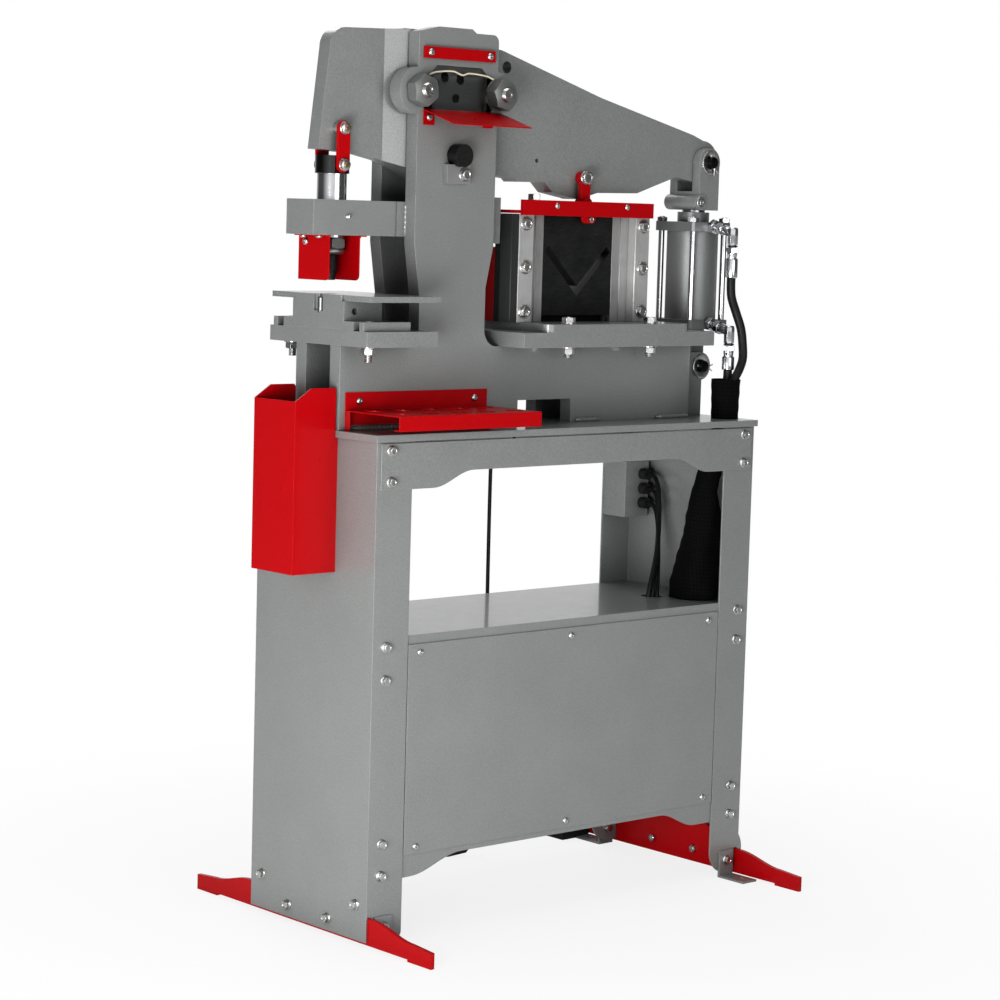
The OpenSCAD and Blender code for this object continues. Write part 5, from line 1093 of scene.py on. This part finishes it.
# Bolts and screws of the yoke, its small tab, and the bolt of its lift link
def add_yoke_bolts():
    s = Shape()
    place = aim(YOKE_BOLT, UP, 0.2)
    s.thread(6.5, 0.0, 18.0, place, 2.0, 28)
    s.lathe([(8.0, 16.0), (12.6, 16.0), (12.6, 18.0), (12.0, 18.6), (8.0, 18.6)], place, 36)
    s.hexagon(21.0, 18.6, 30.0, place, dish=1.0)
    for at in YOKE_SCREWS:
        s.lathe([(5.6, 0.0), (5.6, 0.6), (5.0, 1.8), (3.6, 2.7), (2.2, 3.0), (1.8, 3.0), (1.7, 1.6)],
                aim(at, FRONT), 28)
    s.hexagon(10.0, 0.0, 4.0, aim(TAB_BOLT, FRONT, 0.4), dish=0.6)
    zinc_piece("yoke_bolts", s, "shear_body")
    s = Shape()
    outline = [(106, 1276), (140, 1276), (140, 1266), (134, 1260), (112, 1260), (106, 1266)]
    s.rings([[(x, y, z) for x, z in outline] for y in (-44.5, -49.5)])
    piece("yoke_tab", s, RED, "shear_body", bevel=0.6)
    s = Shape()
    place = aim(LIFT_BOLT, FRONT, 0.3)
    s.lathe([(11.2, 0.0), (13.0, 0.0), (13.0, 1.8), (12.4, 2.4), (11.0, 2.4)], place, 36)
    s.hexagon(23.0, 2.4, 9.0, place, dish=0.8)
    zinc_piece("link_bolt", s, "shear_link_body")


# Socket screw in the clevis clamp, pin in the die block's groove, screw of the punch guard
def add_small_parts():
    s = Shape()
    place = aim(CLAMP_SCREW, FRONT, 0.2)
    s.lathe([(11.0, -0.5), (11.0, 0.5), (10.4, 1.2), (7.4, 1.2), (7.0, 0.6), (7.0, -0.6)], place, 36)
    s.hexagon(11.0, -0.6, 3.4, place, dish=2.2)
    zinc_piece("clamp_screw", s, "rod_body")
    s = Shape()
    place = aim(DIE_PIN, UP)
    s.lathe([(5.0, 1093.0), (5.6, 1093.6), (5.6, 1119.4), (5.0, 1120.0)], place, 32)
    piece("die_pin", s, STEEL, "stand")
    s = Shape()
    button_screw(s, GUARD_SCREW, (1, 0, 0))
    zinc_piece("guard_screw", s, "stand")


# Pale floor that fades to white away from the part, and keeps the part's shadow
FLOOR_HALF = 14.0
FADE_NEAR = 0.3
FADE_FAR = 1.7
WHITE_NEAR = 0.82


def add_floor():
    mesh = bpy.data.meshes.new("floor")
    r = FLOOR_HALF
    mesh.from_pydata([(-r, -r, 0), (r, -r, 0), (r, r, 0), (-r, r, 0)], [], [(0, 1, 2, 3)])
    m = Mat("floor", Roughness=0.9)
    cloud = m.noise(scale=2.0, detail=2.0, rough=0.5)
    m.colour(m.ramp(cloud, [(0.0, (0.82, 0.82, 0.82)), (1.0, (0.86, 0.86, 0.86))]))
    path = m.node("ShaderNodeLightPath")
    glow = m.node("ShaderNodeEmission")
    mixer = m.node("ShaderNodeMixShader")
    away = m.node("ShaderNodeVectorMath", operation="LENGTH")
    m.link(m.coord.outputs["Object"], away.inputs[0])
    fade = m.node("ShaderNodeMapRange", interpolation_type="SMOOTHSTEP")
    fade.inputs["From Min"].default_value = FADE_NEAR
    fade.inputs["From Max"].default_value = FADE_FAR
    fade.inputs["To Min"].default_value = WHITE_NEAR
    m.link(away.outputs["Value"], fade.inputs["Value"])
    m.link(m.math("MULTIPLY", path.outputs["Is Camera Ray"], fade.outputs[0]), mixer.inputs[0])
    m.link(m.bsdf.outputs[0], mixer.inputs[1])
    m.link(glow.outputs[0], mixer.inputs[2])
    m.link(mixer.outputs[0], m.out.inputs[0])
    mesh.materials.append(m.mat)
    floor = bpy.data.objects.new("floor", mesh)
    scene.collection.objects.link(floor)


# Studio: white to the eye and through glass, soft boxes before and behind in reflections
WORLD_LIGHT = 0.30
BOX_WAY = (-0.67, -0.74, 0.0)
BOX_EDGE = 0.15
BOX_FULL = 0.9
BOX_REST = 0.08


def add_world():
    world = bpy.data.worlds.new("studio")
    world.use_nodes = True
    tree = world.node_tree
    tree.nodes.clear()
    new = tree.nodes.new
    link = tree.links.new
    out = new("ShaderNodeOutputWorld")
    light = new("ShaderNodeBackground")
    white = new("ShaderNodeBackground")
    for glow in (light, white):
        glow.inputs["Color"].default_value = (1.0, 1.0, 1.0, 1.0)
    light.inputs["Strength"].default_value = WORLD_LIGHT

    def math_node(op, a, b):
        n = new("ShaderNodeMath")
        n.operation = op
        link(a, n.inputs[0])
        link(b, n.inputs[1])
        return n.outputs[0]

    path = new("ShaderNodeLightPath")
    coord = new("ShaderNodeTexCoord")
    facing = new("ShaderNodeVectorMath")
    facing.operation = "DOT_PRODUCT"
    facing.inputs[1].default_value = BOX_WAY
    link(coord.outputs["Generated"], facing.inputs[0])
    square = math_node("MULTIPLY", facing.outputs["Value"], facing.outputs["Value"])
    boxes = new("ShaderNodeMapRange")
    boxes.inputs["From Min"].default_value = BOX_EDGE
    boxes.inputs["From Max"].default_value = BOX_FULL
    boxes.inputs["To Min"].default_value = BOX_REST
    link(square, boxes.inputs["Value"])
    seen = math_node("MAXIMUM", path.outputs["Is Camera Ray"], path.outputs["Is Transmission Ray"])
    link(math_node("MAXIMUM", seen, boxes.outputs[0]), white.inputs["Strength"])
    mixer = new("ShaderNodeMixShader")
    link(math_node("MAXIMUM", seen, path.outputs["Is Glossy Ray"]), mixer.inputs[0])
    link(light.outputs[0], mixer.inputs[1])
    link(white.outputs[0], mixer.inputs[2])
    link(mixer.outputs[0], out.inputs[0])
    scene.world = world


# Lamps: name, place and width in metres, power in watts
LAMPS = (("key", (-2.3, -1.45, 0.45), 1.3, 84),
         ("front", (-0.2, -3.4, 1.5), 2.0, 24),
         ("back", (0.6, 3.4, 3.2), 2.4, 45),
         ("overhead", (0.0, 0.0, 4.2), 2.6, 50))
LAMP_AIM = (0, 0, 0.85)


def add_lamps():
    for name, at, size, power in LAMPS:
        data = bpy.data.lights.new(name, "AREA")
        data.shape = "DISK"
        data.size = size
        data.energy = power
        lamp = bpy.data.objects.new(name, data)
        lamp.location = at
        way = Vector(LAMP_AIM) - Vector(at)
        lamp.rotation_euler = way.to_track_quat("-Z", "Y").to_euler()
        scene.collection.objects.link(lamp)


scene.view_settings.view_transform = "Standard"
add_camera()
add_cords()
dress_nodes()
add_sleeve()
add_hex_bolts()
add_button_screws()
add_tie_bolts()
add_link_pins()
add_cylinder_parts()
add_cylinder_pins()
add_coupling_nut()
add_shear_housing()
add_welds()
add_grease_nipple()
add_guard_edging()
add_yoke_bolts()
add_small_parts()
add_floor()
add_world()
add_lamps()
